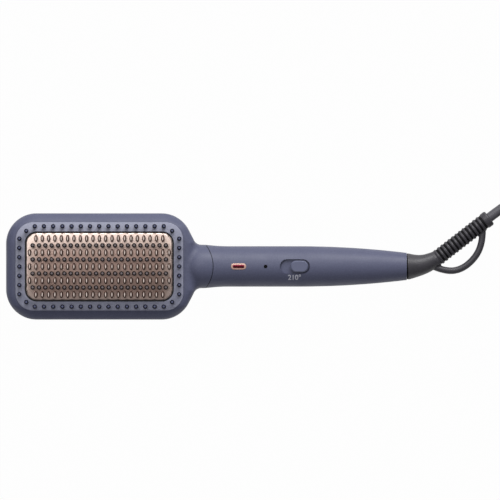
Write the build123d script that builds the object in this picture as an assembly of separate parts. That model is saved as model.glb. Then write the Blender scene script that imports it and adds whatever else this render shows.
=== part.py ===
from build123d import *
import math
import os

# Heated paddle straightening brush with an ion outlet, a slide switch and a swivel mains cord.
# Millimetres. The brush lies on its back: +X runs from the paddle to the cord, +Z is the
# bristle side, and the origin is under the middle of the brush at the height of its back.

# ---------------------------------------------------------------- outer form
HEAD_LENGTH = 138.4
HEAD_WIDTH = 78.8
HEAD_HEIGHT = 30.0
HEAD_CORNER_R = 22.5
SHOULDER_ANGLE = 63.0      # slope of the two shoulders beside the neck
SHOULDER_BACK = 0.5        # the corners at the neck's end turn this much earlier
SHOULDER_REACH = 1.5       # the slopes run this far past the paddle's length, along the neck
SHOULDER_R = 5.0           # where the slopes turn into the neck's end of the paddle
RIM_R = 6.7                # rounding of the bristle side
BACK_R = 12.0              # rounding of the back
CREASE_R = 6.0             # blend between neck and paddle
WALL = 2.2
HANDLE_R = 15.0
NECK_SWELL = 1.12          # the neck is this much fatter than the handle
FLOOR_GAP = 0.08           # the neck clears what the brush lies on
TAPER_LENGTH = 80.4
HANDLE_END_R = 10.1        # radius at the cord end of the handle

# ---------------------------------------------------------------- clearances
FIT = 0.15                 # pieces that drop into openings
SNUG = 0.05                # pieces that are pushed into place by hand
SEAM_GAP = 0.25            # visible line between neck and handle
SEAM_LIP_DEPTH = 0.8       # the neck's lip closes the seam this far under the surface
SEAM_LIP_REACH = 1.0       # the lip runs this far under the handle's edge
PARTING_GAP = 0.15         # visible line between front and back shells
SLIDE_GAP = 0.2            # under and beside the switch knob
RUN_GAP = 0.06             # round the swivel journal
SEAT_GAP = 0.1             # round things laid on flat ones

# ---------------------------------------------------------------- places along the neck and handle
SEAM_OFFSET = 15.05        # from the paddle's neck end
SEAM_R = 26.3
NECK_LENGTH = 27.6
SPIGOT_LENGTH = 12.5
BOSS_INSET = 1.15          # from the neck screw's boss to the spigot's end
ION_CLEAR = 1.45           # from the spigot's end to the ion outlet's block
LED_SPACING = 20.0         # from the ion outlet's middle
SWITCH_SPACING = 21.8      # from the indicator's middle
LED_PLACE = 9.8            # of the indicator on the board
BOARD_CLEAR = 2.8          # from the board to the tail screw's boss
HUB_CLEAR = 2.45           # from the tail screw's boss to the slip ring hub
COLLAR_LENGTH = 15.4       # solid end of the handle, round the swivel

# ---------------------------------------------------------------- comb frame and plate
RING_LENGTH = 124.5
RING_WIDTH = 65.6
RING_CORNER_R = 13.3
RING_PROUD = 0.6           # its outer edge above the housing's face
RING_RISE = 1.2            # its inner edge above its outer edge
RING_REBATE = 0.8          # sunk into the housing's face
RING_STEP = 2.0            # the skirt is this much inside the ring
RING_BEVEL = 0.5
SKIRT_DEPTH = 4.8
GASKET_WIDTH = 1.1
GASKET_BASE = 0.3
GASKET_TOP_DROP = 0.5      # below the ring's face
PLATE_LENGTH = 108.4
PLATE_WIDTH = 49.8
PLATE_CORNER_R = 7.8
PLATE_PROUD = 0.3          # its long edges above the ring
PLATE_CROWN = 0.9          # its middle above its long edges
PLATE_THICKNESS = 4.8
PLATE_EDGE_R = 1.0
FLANGE_REACH = 2.6
FLANGE_THICKNESS = 1.6
COLLAR_WALL = 2.2          # lip of the housing round the skirt

# ---------------------------------------------------------------- bristles
BRISTLE_PITCH = 4.70
ROW_PITCH = 5.2
FIN_LENGTH = 5.5           # across the brush
FIN_WIDTH = 2.9
FIN_HEIGHT = 8.0
FIN_DRAFT = 0.75           # taken off the half width by the top
FIN_TOP_R = 0.45           # bevel round the top
PIN_BASE_R = 1.25
PIN_TOP_R = 0.95
PIN_HEIGHT = 6.9
TIP_BALL_R = 1.7
TIP_SINK = 0.5             # flat on the ball's underside
GUARD_INSET = 3.0
GUARD_HEIGHT = 8.9         # ball's centre above the ring
GUARD_ROOT = 1.0           # moulded into the ring
GUARD_BASE_R = 1.5
GUARD_NECK_R = 1.05
GUARD_BALL_R = 1.65
GUARD_LONG_COUNT = 15
GUARD_LONG_PITCH = 6.83
GUARD_SHORT_COUNT = 7
GUARD_SHORT_PITCH = 6.87
GUARD_CORNER_OUT = (5.1, 6.9)

# ---------------------------------------------------------------- heater stack under the plate
CHIP_LENGTH = 18.0
CHIP_WIDTH = 20.0
CHIP_THICKNESS = 2.2
CHIP_COUNT = 4
CHIP_SPACE = 2.0
SHEET_THICKNESS = 0.3
SHEET_MARGIN = 4.0         # insulation reaches past the chips
ELECTRODE_MARGIN = 2.0
TAB_LENGTH = 7.0
TAB_WIDTH = 4.0
TAB_Y = 5.0
CLAMP_LENGTH = 96.0
CLAMP_WIDTH = 40.0
CLAMP_THICKNESS = 1.2
CLAMP_NOTCH = (7.0, 18.0)  # leaves room for the tabs
BOSS_X = 44.5
BOSS_Y = 16.8
BOSS_R = 2.6
FUSE_R = 1.9
FUSE_LENGTH = 11.0
FUSE_PLACE = (18.0, -8.0)
FUSE_CLIP_T = 0.7
FUSE_CLIP_FOOT = 4.0
SENSOR_SIZE = (8.0, 5.0, 2.4)
SENSOR_PLACE = (-15.0, 8.0)

# ---------------------------------------------------------------- retainer, shield and head screws
RETAINER_BASE = 1.6
RETAINER_WINDOW = (100.0, 42.0)
RETAINER_WINDOW_R = 4.0
RETAINER_SCREW_LONG_X = 30.0
RETAINER_SCREW_SHORT_Y = 12.0
HEAD_SCREW_X = 52.0
HEAD_SCREW_Y = 27.0
HEAD_BOSS_R = 3.2
HEAD_SCREW_SEAT = 4.2      # height of the seat under the screw's head
PLUG_R = 2.7
PLUG_DROP = 0.2
PLUG_T = 2.0
SHIELD_LENGTH = 96.0
SHIELD_WIDTH = 40.0
SHIELD_T = 0.8
SHIELD_Z = 14.2
SHIELD_POST_X = 42.0
SHIELD_POST_Y = 14.0
SHIELD_POST_R = 2.5

# ---------------------------------------------------------------- small screws: head r, head h, shank r
FINE_SCREW = (1.6, 1.1, 0.75)
CASE_SCREW = (2.3, 1.4, 1.1)
FINE_BITE = 3.4
CASE_BITE = 9.0
CROSS_SLOT = 0.5
CROSS_DEPTH = 0.6

# ---------------------------------------------------------------- ion outlet, indicator and switch
ION_RIM = (11.3, 4.5)
ION_MOUTH = (8.7, 2.5)
ION_DEPTH = 4.6
ION_PROUD = 0.25
ION_HOLDER = (10.0, 9.0, 4.0)
ION_NEEDLE_R = 0.35
ION_NEEDLE_SPACING = 4.4
ION_NEEDLE_LENGTH = 3.0
LED_R = 1.35
LED_BODY = (3.0, 2.4, 1.2)
RECESS = (22.3, 10.7)
RECESS_DEPTH = 2.6
PAD_WALL = 1.6
KNOB = (13.2, 8.7)
KNOB_PROUD = 0.95
KNOB_BEVEL = 0.8
KNOB_TRAVEL = 6.6
STEM = (3.0, 2.6)
STEM_SHIFT = 2.0           # from the knob's middle towards the cord, so that the knob hides the slot
SLIDER_WIDTH = 7.0
SLIDER_T = 1.2
SLIDER_TIP = (2.0, 1.8, 2.4)
SWITCH_BODY = (20.0, 8.4, 5.3)
SWITCH_GROOVE_DEPTH = 2.6

# ---------------------------------------------------------------- control board and what it carries
BOARD_WIDTH = 20.0
BOARD_T = 1.6
BOARD_RISE = 2.0           # its underside above the handle's axis
RIB_T = 1.6
RIB_EDGE = 2.5             # from the board's ends to the nearest rib
PART_SPACE = 1.7           # between ribs and the parts under the board
PILLAR_R = 1.8
PILLAR_CLEARS = (6.2, 8.5)  # from the indicator, and from the mains terminal
MODULE = (20.0, 14.0, 8.6)
CAPACITOR = (14.0, 8.0, 10.0)
TRIAC = (10.0, 4.6, 8.0)
CHIP_SIZE = (7.0, 7.0, 1.2)
CHIP_TO_PILLAR = 1.2       # from the board's chip to the second pillar
TERMINAL = (6.0, 14.0, 4.4)
TERMINAL_EDGES = (1.5, 0.5)  # from the board's ends
WIRE_R = 0.85
ION_WIRE_R = 0.6
ION_LEAD_DROP = 3.4        # the ion lead runs this far under the handle's axis
WIRE_BEND = 2.6
BEND_SHARE = 0.85          # of a short run that its bend may take

# ---------------------------------------------------------------- swivel
JOURNAL_R = 5.0
JOURNAL_FLANGE_R = 6.8
FLANGE_T = 2.0
BUSH_WALL = 1.9
BUSH_FLANGE_R = 8.0
HUB_R = 3.6
HUB_LENGTH = 13.2
RING_R = 5.2
RING_T = 2.5
RING_INSETS = (3.0, 8.5)   # from the hub's free end
CARRIER = (10.0, 10.0, 2.9)
LEAF_T = 0.4
LEAF_WIDTH = 2.2
LEAF_GAP = 0.1

# ---------------------------------------------------------------- cord guard with its hanging loop
END_GAP = 0.8              # dark groove between handle and boot
GROOVE_DEPTH = 0.8
BOOT_STEPS = ((END_GAP, 0.0, 9.9), (5.1, 0.2, 8.75), (11.1, 1.1, 7.5), (17.0, 3.1, 6.7), (22.4, 6.0, 5.9))
GUARD_START = (21.9, 5.6)
GUARD_END = (61.4, 36.3)
GUARD_CORE_R = 3.9         # at the bottom of the slots in the sleeve's sides
RIB_R = 6.0
RIB_COUNT = 13
RIB_PITCH = 3.3
RIB_WIDTH = 2.0
WEB_R = 5.4                # webs over and under the core join the ribs
WEB_WIDTH = 4.6
END_RING = 5.4             # plain ring at the guard's end
LOOP_PATH = ((15.0, 2.3), (28.35, -4.54), (44.2, -1.16), (56.8, 14.96), (56.2, 28.8))
LOOP_RADII = (16.5, 28.0, 28.0)
LOOP_BAND = (5.0, 5.2)
LOOP_BAND_R = 1.6

# ---------------------------------------------------------------- mains cord
CORD_R = 3.6
CORD_LENGTH = 1800.0
LEAD_ROUTE = ((14.2, 11.04, 0.0), (31.5, 18.2, -4.4), (51.0, 20.9, -10.0))  # from the guard's end
COIL_CENTRE = (131.4, 6.0)                                                 # from the handle's end
COIL_MID_R = 42.5
COIL_WIDE = 3
COIL_HIGH = 2
TAIL_CURL_R = 40.5              # the tail curls a little tighter than the coil, over its turns
TAIL_TURN = 22.5
TAIL_START = 135.0         # where the tail leaves the outer turn, seen from above
TAIL_RISES = (0.0, 0.31, 0.61, 0.84, 0.97, 1.0, 1.0)  # shares of the climb on to the coil
TIE_T = 0.9
TIE_WIDTH = 12.0
BODY_WIDE = 35.3
BODY_HIGH = 13.7
BODY_LENGTH = 18.0
BODY_NOSE_R = 5.0
GRIP_LENGTH = 12.0
GRIP_SIZE = (13.0, 10.5)
GRIP_CORNER_R = 3.5
NOSE_EDGE_R = 1.2
RELIEF_LENGTH = 14.0
RELIEF_R = (5.0, 4.2)
PRONG_R = 2.0
PRONG_LENGTH = 19.0
PRONG_SPACING = 18.6

# ---------------------------------------------------------------- worked out from the sizes above
MODULE_PLACE = RIB_EDGE + RIB_T / 2 + PART_SPACE + MODULE[0] / 2
SECOND_RIB = MODULE_PLACE + MODULE[0] / 2 + PART_SPACE + RIB_T / 2
CAPACITOR_PLACE = SECOND_RIB + RIB_T / 2 + PART_SPACE + CAPACITOR[0] / 2
THIRD_RIB = CAPACITOR_PLACE + CAPACITOR[0] / 2 + PART_SPACE + RIB_T / 2
TRIAC_PLACE = THIRD_RIB + RIB_T / 2 + PART_SPACE + TRIAC[0] / 2
LAST_RIB = TRIAC_PLACE + TRIAC[0] / 2 + PART_SPACE + RIB_T / 2
RIB_PLACES = (RIB_EDGE, SECOND_RIB, THIRD_RIB, LAST_RIB)
BOARD_LENGTH = LAST_RIB + TERMINAL[0] + RIB_EDGE
TERMINAL_PLACES = (TERMINAL_EDGES[0] + TERMINAL[0] / 2, BOARD_LENGTH - TERMINAL_EDGES[1] - TERMINAL[0] / 2)
PILLAR_PLACES = (LED_PLACE + PILLAR_CLEARS[0], TERMINAL_PLACES[1] - PILLAR_CLEARS[1])
CHIP_PLACE = PILLAR_PLACES[1] - PILLAR_R - CHIP_TO_PILLAR - CHIP_SIZE[0] / 2

SPIGOT_END = SEAM_OFFSET + SPIGOT_LENGTH      # offsets are from the paddle's neck end
NECK_SCREW_OFFSET = SPIGOT_END - HEAD_BOSS_R - BOSS_INSET
ION_OFFSET = SPIGOT_END + ION_CLEAR + ION_HOLDER[0] / 2
LED_OFFSET = ION_OFFSET + LED_SPACING
SWITCH_OFFSET = LED_OFFSET + SWITCH_SPACING
BOARD_OFFSET = LED_OFFSET - LED_PLACE
SWIVEL_DEPTH = COLLAR_LENGTH + FIT + 2 * FLANGE_T + SLIDE_GAP + HUB_LENGTH
TAIL_SCREW_INSET = SWIVEL_DEPTH + HUB_CLEAR + HEAD_BOSS_R
HANDLE_LENGTH = BOARD_OFFSET + BOARD_LENGTH + BOARD_CLEAR + HEAD_BOSS_R + TAIL_SCREW_INSET
BRUSH_LENGTH = HEAD_LENGTH + HANDLE_LENGTH

END_X = BRUSH_LENGTH / 2
HEAD_X = -END_X + HEAD_LENGTH / 2
HEAD_END_X = HEAD_X + HEAD_LENGTH / 2
AXIS_Z = HANDLE_R + NECK_SWELL + FLOOR_GAP
SEAM_X = HEAD_END_X + SEAM_OFFSET
NECK_END_X = HEAD_END_X + NECK_LENGTH
TAPER_X = END_X - TAPER_LENGTH
COLLAR_X = END_X - COLLAR_LENGTH
ION_X = HEAD_END_X + ION_OFFSET
LED_X = HEAD_END_X + LED_OFFSET
SWITCH_X = HEAD_END_X + SWITCH_OFFSET
NECK_SCREW_X = HEAD_END_X + NECK_SCREW_OFFSET
TAIL_SCREW_X = END_X - TAIL_SCREW_INSET
BOARD_X = HEAD_END_X + BOARD_OFFSET
BOARD_Z = AXIS_Z + BOARD_RISE
BOARD_TOP = BOARD_Z + BOARD_T
INNER_R = HANDLE_R - WALL
ION_LEAD_Z = AXIS_Z - ION_LEAD_DROP

RING_EDGE = HEAD_HEIGHT + RING_PROUD
RING_TOP = RING_EDGE + RING_RISE
RING_BAND = (RING_WIDTH - PLATE_WIDTH) / 2 - GASKET_WIDTH
GUARD_FOOT = RING_EDGE + RING_RISE * GUARD_INSET / RING_BAND
RING_SEAT = HEAD_HEIGHT - RING_REBATE
SKIRT_LENGTH = RING_LENGTH - 2 * RING_STEP
SKIRT_WIDTH = RING_WIDTH - 2 * RING_STEP
SKIRT_CORNER_R = RING_CORNER_R - RING_STEP
SKIRT_Z = RING_SEAT - SKIRT_DEPTH
PLATE_TOP = RING_TOP + PLATE_PROUD
PLATE_Z = PLATE_TOP - PLATE_THICKNESS
FLANGE_TOP = PLATE_Z + FLANGE_THICKNESS
POCKET_TOP = FLANGE_TOP + GASKET_BASE
RETAINER_Z = SKIRT_Z - RETAINER_BASE
COLLAR_OUT = FIT + COLLAR_WALL

SHEET_TOP = PLATE_Z
UPPER_ELECTRODE_Z = SHEET_TOP - 2 * SHEET_THICKNESS
CHIP_Z = UPPER_ELECTRODE_Z - CHIP_THICKNESS
LOWER_ELECTRODE_Z = CHIP_Z - SHEET_THICKNESS
LOWER_SHEET_Z = LOWER_ELECTRODE_Z - SHEET_THICKNESS
CLAMP_Z = LOWER_SHEET_Z - CLAMP_THICKNESS
STACK_LENGTH = CHIP_COUNT * CHIP_LENGTH + (CHIP_COUNT - 1) * CHIP_SPACE

RECESS_Z = AXIS_Z + HANDLE_R - RECESS_DEPTH
PAD_Z = RECESS_Z - PAD_WALL
KNOB_Z = RECESS_Z + SLIDE_GAP
KNOB_TOP = AXIS_Z + HANDLE_R + KNOB_PROUD
KNOB_X = SWITCH_X + KNOB_TRAVEL / 2
STEM_X = KNOB_X + STEM_SHIFT
SLOT_X = SWITCH_X + STEM_SHIFT
SLIDER = (STEM[0] + 2 * (KNOB_TRAVEL + 2 * SLIDE_GAP), SLIDER_WIDTH, SLIDER_T)  # hides the slot
SLIDER_TOP = PAD_Z - SLIDE_GAP
SLIDER_Z = SLIDER_TOP - SLIDER[2]
SWITCH_TOP = BOARD_TOP + SWITCH_BODY[2]

BUSH_X = COLLAR_X - FIT
BUSH_R = JOURNAL_R + BUSH_WALL
JOURNAL_STOP_X = BUSH_X - FLANGE_T - SLIDE_GAP
HUB_END = JOURNAL_STOP_X - FLANGE_T
HUB_START = HUB_END - HUB_LENGTH
RING_XS = [HUB_START + inset for inset in RING_INSETS]
CARRIER_X = sum(RING_XS) / len(RING_XS) - CARRIER[0] / 2
LEAF_Z = AXIS_Z + RING_R + LEAF_GAP

os.makedirs("parts", exist_ok=True)


def save(name, shape):
    """Write one node's solids under the node's name."""
    export_step(shape, f"parts/{name}.step")
    return shape


# ---------------------------------------------------------------- shared shapes
def block(size, x=0.0, y=0.0, z=0.0):
    """A box with its middle over (x, y) and its underside at z."""
    return Pos(x, y, z + size[2] / 2) * Box(*size)


def tray(length, width, radius, z_low, z_high):
    """A rounded rectangle centred on the paddle, between two heights."""
    return Pos(HEAD_X, 0, z_low) * extrude(RectangleRounded(length, width, radius), z_high - z_low)


def stadium(size, x, z_low, z_high, grow=0.0):
    """A slot shape that lies along the brush, between two heights."""
    outline = SlotOverall(size[0] + 2 * grow, size[1] + 2 * grow)
    return Pos(x, 0, z_low) * extrude(outline, z_high - z_low)


def post(x, y, radius, z_low, z_high):
    """An upright round post or hole."""
    return Pos(x, y, z_low) * extrude(Circle(radius), z_high - z_low)


def rod(radius, x_low, x_high, y=0.0, z=AXIS_Z):
    """A round bar along the brush."""
    return Plane(origin=(x_low, y, z), z_dir=(1, 0, 0)) * extrude(Circle(radius), x_high - x_low)


def slab(x_low, x_high, z_low=-HEAD_HEIGHT, z_high=3 * HEAD_HEIGHT):
    """A block wider than the brush, to keep or cut a stretch of it."""
    size = (x_high - x_low, 2 * HEAD_WIDTH, z_high - z_low)
    return block(size, (x_low + x_high) / 2, 0, z_low)


def screw(x, y, seat_z, kind, bite):
    """A screw driven upwards: its head lies under seat_z and its shank bites above it."""
    head_r, head_h, shank_r = kind
    head = post(x, y, head_r, seat_z - head_h, seat_z)
    head = fillet(head.edges().sort_by(Axis.Z)[0], head_h / 3)
    cross = block((2.4 * shank_r, CROSS_SLOT, CROSS_DEPTH), x, y, seat_z - head_h)
    cross += block((CROSS_SLOT, 2.4 * shank_r, CROSS_DEPTH), x, y, seat_z - head_h)
    return head + post(x, y, shank_r, seat_z, seat_z + bite) - cross


def wire(points, radius=WIRE_R, bend=WIRE_BEND):
    """A round wire along straight runs with rounded corners."""
    path = FilletPolyline(*points, radius=bend) if len(points) > 2 else Line(*points)
    return sweep(Plane(origin=path @ 0, z_dir=path % 0) * Circle(radius), path=path)


def corners(x, y):
    """The four places at plus and minus x and y from the paddle's middle."""
    return [(HEAD_X + sx * x, sy * y) for sx in (-1, 1) for sy in (-1, 1)]


# ---------------------------------------------------------------- outer form of the brush
def head_outline(inset):
    """Plan of the paddle: straight sides, round corners and two sloping shoulders."""
    reach = HEAD_LENGTH / 2 - inset
    end = reach + SHOULDER_REACH
    half_width = HEAD_WIDTH / 2 - inset
    corner = HEAD_CORNER_R - inset
    tip_x = HEAD_LENGTH / 2 - HEAD_CORNER_R
    shoulder_x = tip_x - SHOULDER_BACK
    centre_y = HEAD_WIDTH / 2 - HEAD_CORNER_R
    turn = math.radians(SHOULDER_ANGLE)
    slope_top = (shoulder_x + corner * math.sin(turn), centre_y + corner * math.cos(turn))
    slope_foot = (end, slope_top[1] - (end - slope_top[0]) * math.tan(turn))
    upper = Wire([
        Line((-reach, 0), (-reach, centre_y)).edge(),
        CenterArc((-tip_x, centre_y), corner, 180, -90).edge(),
        Line((-tip_x, half_width), (shoulder_x, half_width)).edge(),
        CenterArc((shoulder_x, centre_y), corner, 90, -SHOULDER_ANGLE).edge(),
        Line(slope_top, slope_foot).edge(),
        Line(slope_foot, (end, 0)).edge(),
    ])
    lower = upper.mirror(Plane.XZ)
    return make_face(Curve() + [*upper.edges(), *lower.edges()])


def paddle(inset=0.0):
    """The paddle without its neck, or its hollow when inset is the wall."""
    solid = extrude(head_outline(inset), HEAD_HEIGHT - 2 * inset)
    solid = Pos(HEAD_X, 0, inset) * solid
    end_x = HEAD_END_X + SHOULDER_REACH - inset
    shoulders = [e for e in solid.edges().filter_by(Axis.Z) if abs(e.center().X - end_x) < 0.01]
    solid = fillet(shoulders, SHOULDER_R - inset)
    solid = fillet(solid.faces().sort_by(Axis.Z)[-1].edges(), RIM_R - inset)
    return fillet(solid.faces().sort_by(Axis.Z)[0].edges(), BACK_R - inset)


def barrel(inset=0.0):
    """Neck and handle, turned about the handle's axis: a swelling, a straight and a taper."""
    profile = (
        (-9.2, HANDLE_R - 5.3),
        (-3.2, HANDLE_R - 1.6),
        (1.8, HANDLE_R + NECK_SWELL / 2),
        (6.8, HANDLE_R + NECK_SWELL),
        (14.8, HANDLE_R + NECK_SWELL / 2),
        (NECK_LENGTH, HANDLE_R),
    )
    rise = [(HEAD_END_X + x, AXIS_Z + radius - inset) for x, radius in profile]
    start_x = rise[0][0]
    shoulder = (TAPER_X, AXIS_Z + HANDLE_R - inset)
    tail = (END_X, AXIS_Z + HANDLE_END_R - inset)
    with BuildSketch(Plane.XZ) as half:
        with BuildLine():
            Spline(*rise, tangents=[(1, 0.7), (1, 0)])
            Line(rise[-1], shoulder)
            TangentArc(shoulder, tail, tangent=(1, 0))
            Line(tail, (END_X, AXIS_Z))
            Line((END_X, AXIS_Z), (start_x, AXIS_Z))
            Line((start_x, AXIS_Z), rise[0])
        make_face()
    return revolve(half.sketch, Axis((0, 0, AXIS_Z), (1, 0, 0)))


def brush_form():
    """The whole outside, with the crease between paddle and neck blended."""
    whole = paddle() + barrel()
    neck = [f for f in whole.faces() if abs(f.bounding_box().max.X - NECK_END_X) < 0.5
            and f.bounding_box().min.X < HEAD_END_X]
    crease = [e for e in neck[0].edges() if e.center().X < HEAD_END_X + CREASE_R]
    return fillet(crease, CREASE_R).solids()[0]


def head_side(grow=0.0):
    """The space on the paddle's side of the curved seam between neck and handle."""
    arc_x = SEAM_X - SEAM_R
    nose = post(arc_x, 0, SEAM_R + grow, -HEAD_HEIGHT, 3 * HEAD_HEIGHT)
    return nose + slab(-BRUSH_LENGTH, HEAD_END_X)


FRONT = slab(-BRUSH_LENGTH, BRUSH_LENGTH, AXIS_Z + PARTING_GAP / 2)
BACK = slab(-BRUSH_LENGTH, BRUSH_LENGTH, -HEAD_HEIGHT, AXIS_Z - PARTING_GAP / 2)
OUTSIDE = brush_form()
HANDLE_HOLLOW = barrel(WALL) & slab(-BRUSH_LENGTH, COLLAR_X)
HOLLOW = paddle(WALL) + HANDLE_HOLLOW


# ---------------------------------------------------------------- head shells
def seam_lip(clearance=0.0):
    """Lip under the handle's edge that closes the seam between neck and handle."""
    ring = barrel(SEAM_LIP_DEPTH - clearance) - barrel(2 * WALL)
    return ring & head_side(SEAM_GAP + SEAM_LIP_REACH + clearance) & slab(HEAD_END_X + 4, END_X)


def spigot():
    """Sleeve on the neck that the handle shells close over, joined to the neck's wall."""
    sleeve = barrel(WALL + FIT) - barrel(2 * WALL)
    sleeve = sleeve & slab(HEAD_END_X + 4, SEAM_X + SPIGOT_LENGTH)
    root = (barrel(WALL / 2) - barrel(2 * WALL)) & slab(HEAD_END_X + 4, SEAM_X - 5.0)
    return sleeve + root + seam_lip()


def neck_screw_boss(z_low, z_high):
    """Boss inside the spigot for the screw that locks the handle to the neck."""
    return post(NECK_SCREW_X, 0, HEAD_BOSS_R, z_low, z_high) & barrel(WALL + 1.0)


def head_front_housing():
    """Front half of the paddle and neck, with the comb frame's opening and its lip."""
    shell = ((OUTSIDE - HOLLOW) & head_side()) + spigot()
    shell += tray(SKIRT_LENGTH + 2 * COLLAR_OUT, SKIRT_WIDTH + 2 * COLLAR_OUT,
                  SKIRT_CORNER_R + COLLAR_OUT, SKIRT_Z, HEAD_HEIGHT - WALL / 2)
    shell += neck_screw_boss(AXIS_Z, AXIS_Z + INNER_R)
    shell -= tray(SKIRT_LENGTH + 2 * FIT, SKIRT_WIDTH + 2 * FIT,
                  SKIRT_CORNER_R + FIT, SKIRT_Z, 2 * HEAD_HEIGHT)
    shell -= tray(RING_LENGTH + 2 * FIT, RING_WIDTH + 2 * FIT,
                  RING_CORNER_R + FIT, RING_SEAT, 2 * HEAD_HEIGHT)
    shell -= post(NECK_SCREW_X, 0, CASE_SCREW[2] + SNUG, 0, AXIS_Z + CASE_BITE)
    return shell & FRONT


def head_back_cover():
    """Back half of the paddle and neck, with screw bosses and the heat shield's posts."""
    shell = ((OUTSIDE - HOLLOW) & head_side()) + spigot()
    shell += neck_screw_boss(0, AXIS_Z)
    for x, y in corners(HEAD_SCREW_X, HEAD_SCREW_Y):
        shell += post(x, y, HEAD_BOSS_R + 1.0, WALL / 2, AXIS_Z)
    for x, y in corners(SHIELD_POST_X, SHIELD_POST_Y):
        shell += post(x, y, SHIELD_POST_R, WALL / 2, SHIELD_Z)
        shell -= post(x, y, FINE_SCREW[2] + SNUG, SHIELD_Z - 2 * FINE_BITE, SHIELD_Z)
    for x, y in corners(HEAD_SCREW_X, HEAD_SCREW_Y):
        shell -= post(x, y, PLUG_R + SNUG, -1, HEAD_SCREW_SEAT)
        shell -= post(x, y, CASE_SCREW[2] + SNUG, 0, AXIS_Z)
    shell -= post(NECK_SCREW_X, 0, CASE_SCREW[2] + SNUG, 0, AXIS_Z)
    return shell & BACK


save("head_front_housing", head_front_housing())
save("head_back_cover", head_back_cover())


# ---------------------------------------------------------------- comb frame
def guard_pin(x, y):
    """One tapered pin with a ball on it, rooted in the ring."""
    root = post(x, y, GUARD_BASE_R, GUARD_FOOT - GUARD_ROOT, GUARD_FOOT)
    stem = Pos(x, y, GUARD_FOOT + GUARD_HEIGHT / 2) * Cone(GUARD_BASE_R, GUARD_NECK_R, GUARD_HEIGHT)
    return root + stem + Pos(x, y, GUARD_FOOT + GUARD_HEIGHT) * Sphere(GUARD_BALL_R)


def guard_places():
    """The ring of guard pins: two long rows, two short rows and one in each corner."""
    long_y = RING_WIDTH / 2 - GUARD_INSET
    short_x = RING_LENGTH / 2 - GUARD_INSET
    places = []
    for side in (-1, 1):
        for i in range(GUARD_LONG_COUNT):
            places.append((HEAD_X + (i - (GUARD_LONG_COUNT - 1) / 2) * GUARD_LONG_PITCH, side * long_y))
        for i in range(GUARD_SHORT_COUNT):
            places.append((HEAD_X + side * short_x, (i - (GUARD_SHORT_COUNT - 1) / 2) * GUARD_SHORT_PITCH))
    corner_x = RING_LENGTH / 2 - RING_CORNER_R + GUARD_CORNER_OUT[0]
    corner_y = RING_WIDTH / 2 - RING_CORNER_R + GUARD_CORNER_OUT[1]
    return places + corners(corner_x, corner_y)


def retainer_screw_places():
    """Screws along the middle of the skirt's wall."""
    pocket = (PLATE_WIDTH / 2 + FLANGE_REACH + 2 * FIT + SKIRT_WIDTH / 2) / 2
    pocket_x = (PLATE_LENGTH / 2 + FLANGE_REACH + 2 * FIT + SKIRT_LENGTH / 2) / 2
    return corners(RETAINER_SCREW_LONG_X, pocket) + corners(pocket_x, RETAINER_SCREW_SHORT_Y)


def ring_slope():
    """The ring's visible side: a bevelled outer edge, then a slope up to the gasket."""
    steps = ((0, RING_SEAT), (0, RING_EDGE - RING_BEVEL), (RING_BEVEL, RING_EDGE), (RING_BAND, RING_TOP))
    return loft([Pos(HEAD_X, 0, z) * RectangleRounded(RING_LENGTH - 2 * inset, RING_WIDTH - 2 * inset,
                                                      RING_CORNER_R - inset) for inset, z in steps],
                ruled=True)


def comb_frame():
    """Ring round the plate, with a skirt through the housing and a seat for each guard pin."""
    ring = ring_slope() + tray(SKIRT_LENGTH, SKIRT_WIDTH, SKIRT_CORNER_R, SKIRT_Z, RING_SEAT)
    ring -= tray(PLATE_LENGTH + 2 * GASKET_WIDTH, PLATE_WIDTH + 2 * GASKET_WIDTH,
                 PLATE_CORNER_R + GASKET_WIDTH, SKIRT_Z, 2 * HEAD_HEIGHT)
    reach = FLANGE_REACH + 2 * FIT
    ring -= tray(PLATE_LENGTH + 2 * reach, PLATE_WIDTH + 2 * reach,
                 PLATE_CORNER_R + reach, SKIRT_Z, POCKET_TOP)
    for x, y in retainer_screw_places():
        ring -= post(x, y, FINE_SCREW[2] + SNUG, SKIRT_Z, SKIRT_Z + FINE_BITE)
    for x, y in guard_places():
        ring -= post(x, y, GUARD_BASE_R, GUARD_FOOT - GUARD_ROOT, 2 * HEAD_HEIGHT)
    return ring


save("comb_frame", comb_frame())
save("guard_pins", Part() + [guard_pin(x, y) for x, y in guard_places()])


# ---------------------------------------------------------------- heating plate with its bristles
def bristle_places(rows, counts):
    """Places along the given rows, each row centred on the paddle."""
    places = []
    for row, count in zip(rows, counts):
        for i in range(count):
            places.append((HEAD_X + (i - (count - 1) / 2) * BRISTLE_PITCH, row * ROW_PITCH))
    return places


FIN_PLACES = bristle_places((-4, -2, 0, 2, 4), (21, 23, 23, 23, 21))
PIN_PLACES = bristle_places((-3, -1, 1, 3), (22, 22, 22, 22))


def fin():
    """One oval heating fin that narrows to a bevelled top, standing at the origin."""
    steps = ((0, 0), (FIN_HEIGHT - FIN_TOP_R, FIN_DRAFT), (FIN_HEIGHT, FIN_DRAFT + FIN_TOP_R))
    return loft([Pos(0, 0, z) * Ellipse(FIN_WIDTH / 2 - take, FIN_LENGTH / 2 - take) for z, take in steps],
                ruled=True)


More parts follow.
